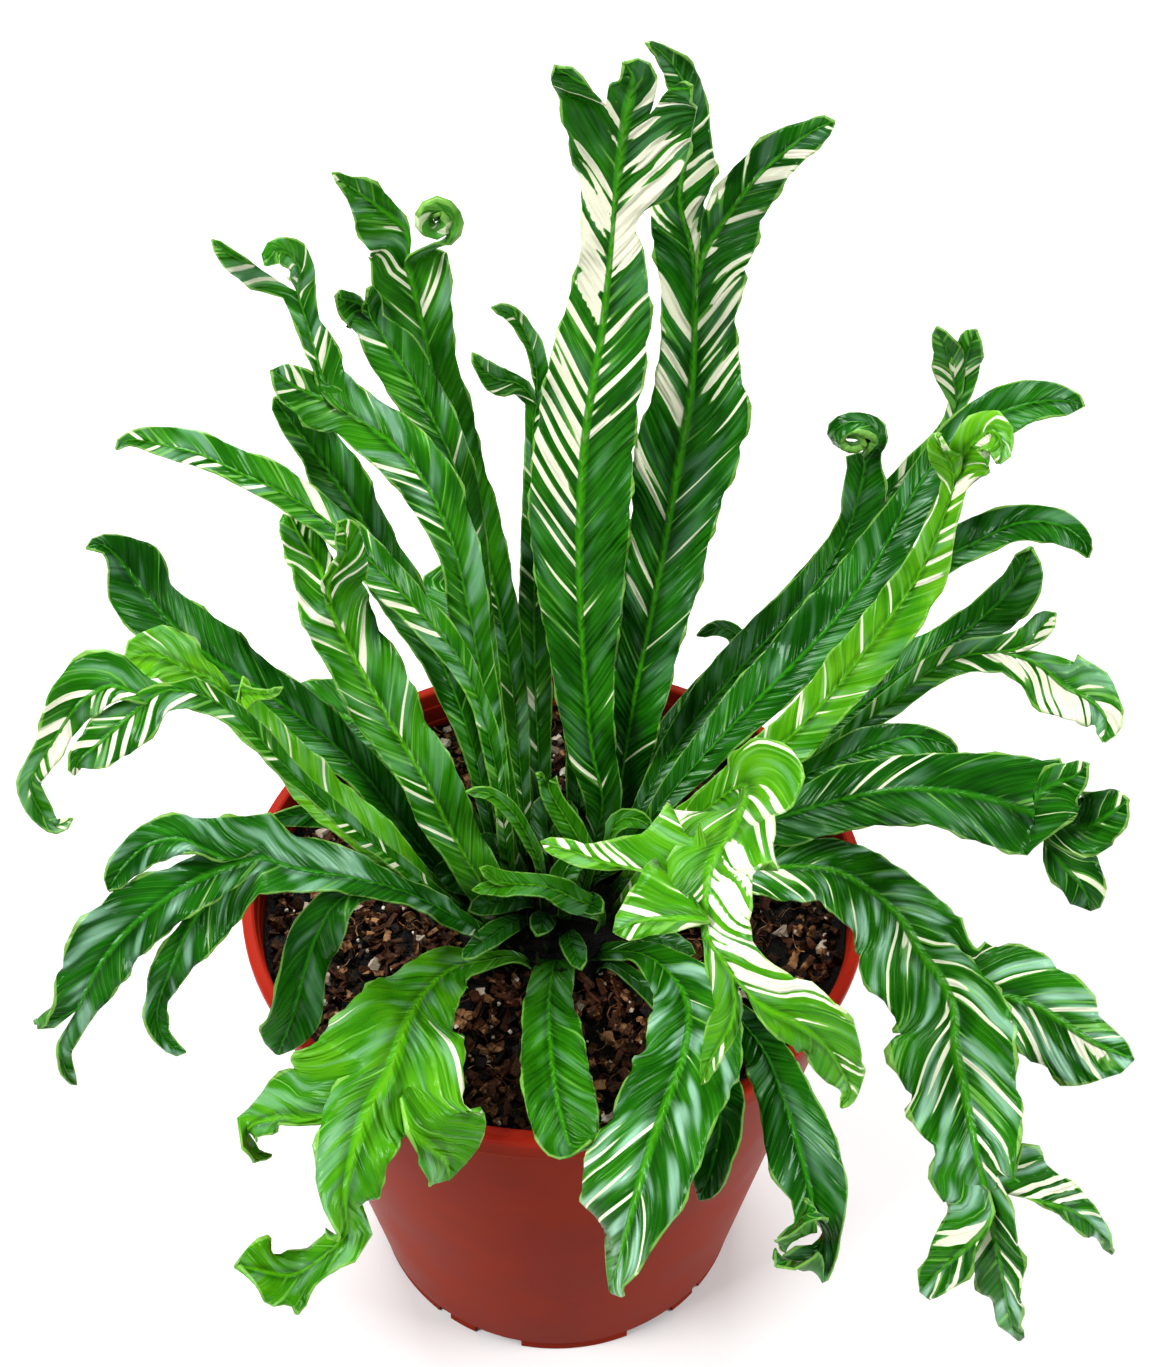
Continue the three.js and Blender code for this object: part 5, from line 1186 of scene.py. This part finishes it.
def pot_material():
    n = Nodes("terracotta_plastic")
    place = n.add("ShaderNodeTexCoord").outputs["Object"]
    cloud = n.noise(place, 30.0, detail=3.0)
    grain = n.noise(place, 2400.0, detail=2.0)
    red = n.blend(n.ramp(cloud, 0.35, 0.65), colour("7a2411"), colour("832913"))
    height = n.add("ShaderNodeSeparateXYZ")
    n.link(place, height.inputs[0])
    # Painted highlight: the collar and rim are painted lighter towards the top, where light falls on them
    painted_rim_light = n.ramp(height.outputs[2], (POT_HEIGHT - COLLAR_HEIGHT) * MM, POT_HEIGHT * MM, 0.0, 0.6)
    red = n.blend(painted_rim_light, red, colour("ae3023"))
    # Painted highlight: a thin lighter line along the collar's step
    painted_step_highlight = n.math("ABSOLUTE", n.math("SUBTRACT", height.outputs[2], COLLAR_HIGHLIGHT_HEIGHT * MM))
    painted_step_highlight = n.ramp(painted_step_highlight, 0.2 * MM, 0.7 * MM, 0.7, 0.0)
    n.link(n.blend(painted_step_highlight, red, colour("c04a3a")), n.shader.inputs["Base Color"])
    n.shader.inputs["Specular IOR Level"].default_value = 0.02
    n.link(n.ramp(cloud, 0.3, 0.7, 0.3, 0.38), n.shader.inputs["Roughness"])
    n.link(n.bump(grain, 0.12, 0.0001), n.shader.inputs["Normal"])
    return n.material


def mix_material(name, browns, scale):
    """Broken bark, fibre and stone: each bit has its own tone, with lighter patches at random."""
    dark, middle, light = map(colour, browns)
    n = Nodes(name)
    tone = n.add("ShaderNodeAttribute", attribute_name="tone").outputs["Fac"]
    place = n.add("ShaderNodeTexCoord").outputs["Object"]
    patches = n.noise(place, scale, detail=4.0, roughness=0.65)
    grain = n.noise(place, scale * 5, detail=3.0)
    mixed = n.math("MULTIPLY_ADD", patches, 0.9, n.math("MULTIPLY", tone, 0.5))
    brown = n.blend(n.ramp(mixed, 0.5, 0.74), dark, middle)
    brown = n.blend(n.ramp(mixed, 0.82, 0.98), brown, light)
    n.link(brown, n.shader.inputs["Base Color"])
    n.shader.inputs["Specular IOR Level"].default_value = 0.22
    n.link(n.ramp(grain, 0.3, 0.7, 0.4, 0.8), n.shader.inputs["Roughness"])
    n.link(n.bump(grain, 0.7, 0.0007), n.shader.inputs["Normal"])
    return n.material


# Pieces made with Blender's tools
def select_parts(item, kind, test):
    """Selects the verts, edges or faces of a mesh in edit mode that pass a test."""
    bpy.ops.mesh.select_all(action="DESELECT")
    bpy.ops.mesh.select_mode(type={"verts": "VERT", "edges": "EDGE", "faces": "FACE"}[kind])
    mesh = bmesh.from_edit_mesh(item.data)
    for part in getattr(mesh, kind):
        if test(part):
            part.select_set(True)
    mesh.select_flush_mode()
    bmesh.update_edit_mesh(item.data)


def start_disc(vertices, radius, center, height):
    """A flat disc, opened for editing, as the start of a round piece."""
    bpy.ops.mesh.primitive_circle_add(
        vertices=vertices, radius=radius * MM, fill_type="NGON",
        location=(center[0], center[1], height * MM))
    disc = bpy.context.active_object
    bpy.ops.object.select_all(action="DESELECT")
    disc.select_set(True)
    bpy.context.view_layer.objects.active = disc
    bpy.ops.object.transform_apply(location=True, rotation=True, scale=True)
    bpy.ops.object.mode_set(mode="EDIT")
    bpy.ops.mesh.select_all(action="SELECT")
    return disc


def draw_out(item, radius, height, profile, center=AXIS):
    """Draws a disc's open edge through a profile's radii and heights, and closes its end."""
    select_parts(item, "edges", lambda edge: edge.is_boundary)
    for next_radius, next_height in profile:
        bpy.ops.mesh.extrude_region_move(
            TRANSFORM_OT_translate={"value": (0, 0, (next_height - height) * MM)})
        ratio = next_radius / radius
        bpy.ops.transform.resize(value=(ratio, ratio, 1), center_override=tuple(center))
        radius, height = next_radius, next_height
    bpy.ops.mesh.edge_face_add()
    bpy.ops.mesh.select_all(action="SELECT")
    bpy.ops.mesh.normals_make_consistent(inside=False)
    bpy.ops.object.mode_set(mode="OBJECT")


def finish_object(item, name, material, replaced=None):
    """Names a finished piece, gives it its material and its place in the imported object."""
    item.name = name
    item.data.name = name
    item.data.materials.clear()
    item.data.materials.append(material)
    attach(item, ROOT)
    if replaced:
        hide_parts(replaced)
    bpy.ops.object.select_all(action="DESELECT")


# Pot: a disc drawn out into the wall, folded over at the rim and back down inside
def wall_radius(height):
    rise = (height - FOOT_HEIGHT) / (POT_HEIGHT - COLLAR_HEIGHT - FOOT_HEIGHT)
    return BASE_RADIUS + (WALL_TOP_RADIUS - BASE_RADIUS) * rise


def make_pot(material):
    floor_top = FOOT_HEIGHT + FLOOR
    collar = POT_HEIGHT - COLLAR_HEIGHT
    lip = POT_HEIGHT - RIM_LIP_HEIGHT
    pot = start_disc(POT_SEGMENTS, BASE_RADIUS, AXIS, FOOT_HEIGHT)
    # Ring of floor that carries the feet
    bpy.ops.mesh.inset(thickness=FOOT_INSET * MM)
    bpy.ops.mesh.inset(thickness=FOOT_THICKNESS * MM)
    ring_radius = BASE_RADIUS - FOOT_INSET - FOOT_THICKNESS / 2
    first_foot = FEET[0][0]

    def in_a_foot(face):
        middle = face.calc_center_median()
        radius = math.hypot(middle.x - AXIS[0], middle.y - AXIS[1]) / MM
        angle = math.degrees(math.atan2(middle.y - AXIS[1], middle.x - AXIS[0]))
        if abs(radius - ring_radius) > 0.5:
            return False
        turned = (angle + 90 - FEET_TURN - first_foot) % FEET_PERIOD + first_foot
        return any(first - 0.1 <= turned <= last + 0.1 for first, last in FEET)

    select_parts(pot, "faces", in_a_foot)
    bpy.ops.mesh.extrude_region_move(
        TRANSFORM_OT_translate={"value": (0, 0, -FOOT_HEIGHT * MM)})
    # Wall, rim and the way back down to the inner floor
    draw_out(pot, BASE_RADIUS, FOOT_HEIGHT, [
        (wall_radius(60), 60), (wall_radius(120), 120), (wall_radius(collar), collar),
        (wall_radius(collar) + COLLAR_STEP, collar + 0.5),
        (RIM_RADIUS - 1.5, lip), (RIM_RADIUS - 0.3, lip + 0.1), (RIM_RADIUS, lip + 0.6),
        (RIM_RADIUS, POT_HEIGHT - 1.2), (RIM_RADIUS - 0.4, POT_HEIGHT - 0.35),
        (RIM_RADIUS - 1.2, POT_HEIGHT), (RIM_INNER_RADIUS + 1.1, POT_HEIGHT),
        (RIM_INNER_RADIUS + 0.3, POT_HEIGHT - 0.4), (RIM_INNER_RADIUS, POT_HEIGHT - 1.3),
        (RIM_INNER_RADIUS - 0.3, POT_HEIGHT - 6), (RIM_INNER_RADIUS - 0.9, POT_HEIGHT - 6.5),
        (wall_radius(collar) - WALL, collar), (wall_radius(90) - WALL, 90),
        (wall_radius(floor_top) - WALL, floor_top),
    ])
    drill_holes(pot)
    soften = pot.modifiers.new("soft_edges", "BEVEL")
    soften.width = POT_EDGE_ROUNDING * MM
    soften.segments = 2
    soften.angle_limit = math.radians(40)
    bpy.context.view_layer.objects.active = pot
    bpy.ops.object.modifier_apply(modifier=soften.name)
    bpy.ops.object.shade_smooth_by_angle(angle=math.radians(35))
    finish_object(pot, "pot_shell", material, "pot")


def drill_holes(pot):
    """Cuts the drainage holes through the floor: one in the middle and a ring around it."""
    places = [(0, 0)]
    for i in range(DRAIN_HOLES):
        angle = 2 * math.pi * i / DRAIN_HOLES
        places.append((DRAIN_HOLE_CIRCLE * math.cos(angle), DRAIN_HOLE_CIRCLE * math.sin(angle)))
    for x, y in places:
        bpy.ops.mesh.primitive_cylinder_add(
            vertices=24, radius=DRAIN_HOLE_RADIUS * MM, depth=4 * FLOOR * MM,
            location=(AXIS[0] + x * MM, AXIS[1] + y * MM, (FOOT_HEIGHT + FLOOR / 2) * MM))
        drill = bpy.context.active_object
        hole = pot.modifiers.new("hole", "BOOLEAN")
        hole.operation = "DIFFERENCE"
        hole.solver = "EXACT"
        hole.object = drill
        bpy.context.view_layer.objects.active = pot
        bpy.ops.object.modifier_apply(modifier=hole.name)
        bpy.data.objects.remove(drill)


# Potting mix: the mass under the chips, then chips, fibres and pebbles lying on it
def soil_height(x, y):
    return (0.9 * (0.6 * math.sin(0.31 * x + 1) * math.cos(0.27 * y)
                   + 0.4 * math.sin(0.11 * x - 0.17 * y)))


def make_mix(material):
    bottom = FOOT_HEIGHT + FLOOR + SOIL_CLEARANCE
    collar = POT_HEIGHT - COLLAR_HEIGHT
    mix = start_disc(96, SOIL_TOP_RADIUS, AXIS, SOIL_LEVEL)
    for _ in range(SOIL_RINGS):
        bpy.ops.mesh.inset(thickness=SOIL_RING * MM)
    bpy.ops.mesh.poke()
    draw_out(mix, SOIL_TOP_RADIUS, SOIL_LEVEL, [
        (wall_radius(collar - 1.9) - WALL - SOIL_CLEARANCE, SOIL_LEVEL - 0.5),
        (wall_radius(bottom) - WALL - SOIL_CLEARANCE, bottom),
    ])
    draw = random.Random(11)
    for vertex in mix.data.vertices:
        x, y = (vertex.co.x - AXIS[0]) / MM, (vertex.co.y - AXIS[1]) / MM
        on_top = abs(vertex.co.z / MM - SOIL_LEVEL) < 0.01
        if on_top and math.hypot(x, y) < SOIL_TOP_RADIUS - 0.1:
            rough = draw.uniform(-1.1, 0.3)
            vertex.co.z += (soil_height(x, y) + rough) * MM
    finish_object(mix, "mix_mass", material, "potting_mix")


def chip_shapes(draw):
    """A few broken bark chips, each a cut and roughened block of unit size."""
    shapes = []
    for _ in range(CHIP_KINDS):
        bpy.ops.mesh.primitive_cube_add(size=1)
        chip = bpy.context.active_object
        bpy.ops.object.mode_set(mode="EDIT")
        bpy.ops.mesh.select_all(action="SELECT")
        bpy.ops.mesh.subdivide(number_cuts=1)
        for _ in range(2):
            bpy.ops.mesh.select_all(action="SELECT")
            tilt = Vector([draw.uniform(-1, 1) for _ in range(3)]).normalized()
            bpy.ops.mesh.bisect(plane_co=tuple(tilt * CHIP_CUT), plane_no=tuple(tilt),
                                clear_outer=True, use_fill=True)
        bpy.ops.object.mode_set(mode="OBJECT")
        for vertex in chip.data.vertices:
            vertex.co += Vector([draw.uniform(-0.09, 0.09) for _ in range(3)])
        shapes.append((np.array([v.co for v in chip.data.vertices]),
                       [tuple(p.vertices) for p in chip.data.polygons]))
        bpy.data.objects.remove(chip)
    return shapes


def toned_object(name, points, faces, tones):
    """An object with a tone for each point."""
    item = mesh_object(name, points, faces)
    tone = item.data.attributes.new("tone", "FLOAT", "POINT")
    tone.data.foreach_set("value", tones)
    return item


def scatter(name, shapes, count, draw, sizes, lift, inner, outer):
    """One object of many copies of the shapes, turned and laid at random on the mix."""
    points, faces, tones = [], [], []
    for _ in range(count):
        shape_points, shape_faces = shapes[draw.randrange(len(shapes))]
        radius = math.sqrt(draw.uniform(inner ** 2, outer ** 2))
        angle = draw.uniform(0, 2 * math.pi)
        x, y = radius * math.cos(angle), radius * math.sin(angle)
        size = [draw.uniform(*limits) for limits in sizes]
        turn = (Matrix.Rotation(draw.uniform(0, 2 * math.pi), 3, "Z")
                @ Matrix.Rotation(draw.gauss(0, 0.45), 3, "X")
                @ Matrix.Rotation(draw.gauss(0, 0.45), 3, "Y"))
        z = SOIL_LEVEL + soil_height(x, y) + draw.uniform(*lift)
        placed = (shape_points * size) @ np.array(turn).T + (x, y, z)
        start = len(points)
        points.extend(placed)
        faces.extend(tuple(start + i for i in face) for face in shape_faces)
        tones.extend([draw.random()] * len(placed))
    return toned_object(name, points, faces, tones)


def thin_tube(points, radii, faces, start, sides=3):
    """Ring points of a tapering tube along a path, and its faces added to the list."""
    rings = []
    for i, (point, radius) in enumerate(zip(points, radii)):
        ahead = unit(points[min(i + 1, len(points) - 1)] - points[max(i - 1, 0)])
        side = unit(np.cross(ahead, (0.31, 0.2, 0.93)))
        other = np.cross(ahead, side)
        for k in range(sides):
            turn = 2 * math.pi * k / sides
            rings.append(point + radius * (side * math.cos(turn) + other * math.sin(turn)))
    for i in range(len(points) - 1):
        for k in range(sides):
            a, b = start + i * sides + k, start + i * sides + (k + 1) % sides
            faces.append((a, b, b + sides, a + sides))
    faces.append(tuple(start + k for k in reversed(range(sides))))
    last = start + (len(points) - 1) * sides
    faces.append(tuple(last + k for k in range(sides)))
    return rings


def make_fibres(count, draw):
    """Curly coir fibres and fine roots lying on the mix."""
    points, faces, tones = [], [], []
    for _ in range(count):
        radius, angle = math.sqrt(draw.uniform(33 ** 2, 93 ** 2)), draw.uniform(0, 2 * math.pi)
        spot = np.array([radius * math.cos(angle), radius * math.sin(angle)])
        heading, bend = draw.uniform(0, 2 * math.pi), draw.uniform(-0.55, 0.55)
        thick = draw.uniform(0.12, 0.34)
        path = []
        for _ in range(9):
            if math.hypot(*spot) > SOIL_TOP_RADIUS:
                break
            height = SOIL_LEVEL + soil_height(*spot) + 1.6 + draw.uniform(-0.9, 1.3)
            path.append(np.array([spot[0], spot[1], height]))
            heading += bend + draw.uniform(-0.35, 0.35)
            spot = spot + 1.9 * np.array([math.cos(heading), math.sin(heading)])
        if len(path) < 4:
            continue
        radii = [thick * (1 - 0.5 * i / len(path)) for i in range(len(path))]
        rings = thin_tube(path, radii, faces, len(points))
        points.extend(rings)
        tones.extend([draw.random()] * len(rings))
    return toned_object("fibres", points, faces, tones)


# Crown: a low dome with papery scales, old stalk bases and small leaves
def make_crown(material):
    radius, foot = CROWN_RADIUS, CROWN_BOTTOM + 3
    center = AXIS + np.array([*CROWN_CENTER, 0]) * MM
    crown = start_disc(48, 0.4 * radius, center, foot)
    draw_out(crown, 0.4 * radius, foot, [
        (0.88 * radius, CROWN_BOTTOM + 28), (radius, SOIL_LEVEL - 8), (radius, SOIL_LEVEL - 1),
        (0.93 * radius, SOIL_LEVEL + 2), (0.8 * radius, CROWN_TOP - 1.5),
        (0.5 * radius, CROWN_TOP),
    ], center)
    finish_object(crown, "crown_dome", material, "crown")


def make_scales(count, draw):
    """Narrow papery scales on the crown, and every fifth one an old stalk base."""
    points, faces, tones = [], [], []
    center = np.array([*CROWN_CENTER, 0.0])
    for i in range(count):
        radius = (CROWN_RADIUS - 3) * math.sqrt(draw.random())
        angle = draw.uniform(0, 2 * math.pi)
        out = np.array([math.cos(angle), math.sin(angle), 0.0])
        foot = center + out * radius + (0, 0, CROWN_TOP - 3 - 3 * (radius / CROWN_RADIUS) ** 2)
        stub = i % 5 == 0
        tall = draw.uniform(5, 13) if stub else draw.uniform(4, 9)
        lean = out * draw.uniform(0.1, 0.7) + (draw.gauss(0, 0.2), draw.gauss(0, 0.2), 0)
        top = foot + tall * unit(lean + (0, 0, 1))
        middle = (foot + top) / 2 + out * draw.uniform(-0.8, 0.4)
        wide = draw.uniform(1.3, 2.0) if stub else draw.uniform(0.35, 0.8)
        rings = thin_tube([foot, middle, top], [wide, 0.8 * wide, 0.12], faces, len(points),
                          sides=5 if stub else 3)
        points.extend(rings)
        tones.extend([0.9 if stub else draw.uniform(0, 0.6)] * len(rings))
    return toned_object("crown_scales", points, faces, tones)


def small_leaves(count, draw):
    """Small leaves low in the crown's middle, as rows of their real size."""
    leaves = []
    for i in range(count):
        angle = 2 * math.pi * (i + draw.uniform(-0.3, 0.3)) / count
        out = np.array([math.cos(angle), math.sin(angle), 0.0])
        radius = draw.uniform(6, 25)
        length = draw.uniform(24, 44)
        lean = math.radians(20 + 1.9 * radius + draw.uniform(-8, 12))
        width = draw.uniform(3.6, 6.4)
        foot = np.array([*CROWN_CENTER, CROWN_TOP - 5]) + out * radius
        route = []
        for share, wide in ((0.2, 0.55), (0.5, 0.9), (0.78, 1), (1, 0.5)):
            place = foot + length * share * (out * math.sin(lean) * (0.5 + 0.7 * share)
                                             + (0, 0, math.cos(lean) * (1.15 - 0.35 * share)))
            route.append((*place, wide * width, wide * width))
        leaves.append(dict(name=str(FIRST_SMALL_LEAF + i), heading=math.degrees(angle), columns=2,
                           reach=1, stem=tuple(foot[:2]), route=route, lobes=(), measured=True))
    return leaves


# The plant in its pot
LEAVES = {
    "leaf_striped": leaf_material("striped_blade", ("0b4203", "237509", "5aa814"), 0.24),
    "leaf_dark": leaf_material("dark_blade", ("0a3d05", "1e690f", "46961a"), 0.2),
    "leaf_young": leaf_material("young_blade", ("1c6605", "3d8d09", "78ba1c"), 0.27),
}
YOUNG = {"09", "11", "16", "21", "25", "33", "34", "35", "36", "37"}
DARK = {"10", "13", "14", "15", "19", "20", "23", "24", "26", "27", "28", "30", "31", "32"}


def leaf_slot(name):
    if name in YOUNG:
        return "leaf_young"
    if name in DARK or int(name) >= FIRST_SMALL_LEAF:
        return "leaf_dark"
    return "leaf_striped"


make_pot(pot_material())
dark_mix = mix_material("wet_mix", ("060302", "1c0f08", "3a2416"), 260.0)
bark = mix_material("bark", ("0d0603", "4a2b19", "9a7350"), 240.0)
coir = mix_material("coir", ("2a160b", "6d4427", "a98660"), 300.0)
stone = mix_material("pumice", ("8d7f70", "b9ab9b", "e6dfd4"), 300.0)
scale = mix_material("papery_scale", ("0a0604", "1d1309", "20300f"), 300.0)
make_mix(dark_mix)
make_crown(dark_mix)
draw_bits = random.Random(5)
chips = chip_shapes(draw_bits)


def lay_bits(name, material, count, sizes, lift, inner, outer):
    bits = scatter(name, chips, count, draw_bits, sizes, lift, inner, outer)
    finish_object(bits, name, material)


lay_bits("bark_chips", bark, 2600, [(2.2, 6.5), (1.4, 3.4), (0.8, 2.2)], (-0.4, 2.4), 31, 96)
finish_object(make_fibres(420, draw_bits), "fibres", coir)
lay_bits("pebbles", stone, 60, [(2.6, 4.6), (2.4, 4.0), (2.0, 3.2)], (1.2, 2.4), 34, 94)
lay_bits("grit", stone, 260, [(0.6, 1.3), (0.6, 1.2), (0.5, 1.0)], (1.8, 3.0), 34, 95)
finish_object(make_scales(420, draw_bits), "crown_scales", scale)
for traced_frond in FRONDS + small_leaves(SMALL_LEAVES, random.Random(11)):
    blade_item = make_frond(traced_frond)
    blade_slot = leaf_slot(traced_frond["name"])
    blade_item.data.materials.append(LEAVES[blade_slot])

# Floor, light and camera
bpy.ops.mesh.primitive_plane_add(size=8, location=(0, 0, -0.0005))
floor = bpy.context.active_object
floor.name = "floor"
floor_nodes = Nodes("pale_floor")
FLOOR_GREY = 0.72
floor_nodes.shader.inputs["Base Color"].default_value = (FLOOR_GREY, FLOOR_GREY, FLOOR_GREY, 1)
floor_nodes.shader.inputs["Roughness"].default_value = 0.9
floor.data.materials.append(floor_nodes.material)


def soft_light(name, place, aim, size, power):
    data = bpy.data.lights.new(name, "AREA")
    data.shape = "RECTANGLE"
    data.size, data.size_y = size
    data.energy = power
    lamp = bpy.data.objects.new(name, data)
    bpy.context.scene.collection.objects.link(lamp)
    lamp.location = place
    lamp.rotation_euler = (Vector(aim) - Vector(place)).to_track_quat("-Z", "Y").to_euler()


soft_light("key", place=(-1.5, -0.7, 1.7), aim=(0, 0, 0.2), size=(1.0, 1.0), power=48)
soft_light("fill", place=(1.6, -0.5, 1.5), aim=(0, 0, 0.2), size=(0.9, 1.2), power=34)
soft_light("sheen", place=(-0.2, 1.5, 1.7), aim=(0, 0, 0.25), size=(1.6, 0.7), power=36)

world = bpy.data.worlds.new("studio")
bpy.context.scene.world = world
world.use_nodes = True
world.node_tree.nodes["Background"].inputs["Color"].default_value = (1, 1, 1, 1)
world.node_tree.nodes["Background"].inputs["Strength"].default_value = 0.27

SENSOR_HEIGHT = 36
camera_data = bpy.data.cameras.new("camera")
camera_data.sensor_width = SENSOR_HEIGHT
camera_data.lens = FOCAL_PX / VIEW_HEIGHT_PX * SENSOR_HEIGHT
camera_data.clip_start = 0.01
camera = bpy.data.objects.new("camera", camera_data)
bpy.context.scene.collection.objects.link(camera)
turned = Matrix([EYE_RIGHT, EYE_UP, -EYE_FORWARD]).transposed()
camera.matrix_world = Matrix.Translation(EYE * MM + AXIS) @ turned.to_4x4()
bpy.context.scene.camera = camera
bpy.context.scene.view_settings.view_transform = "Standard"
bpy.context.scene.view_settings.look = "Medium High Contrast"
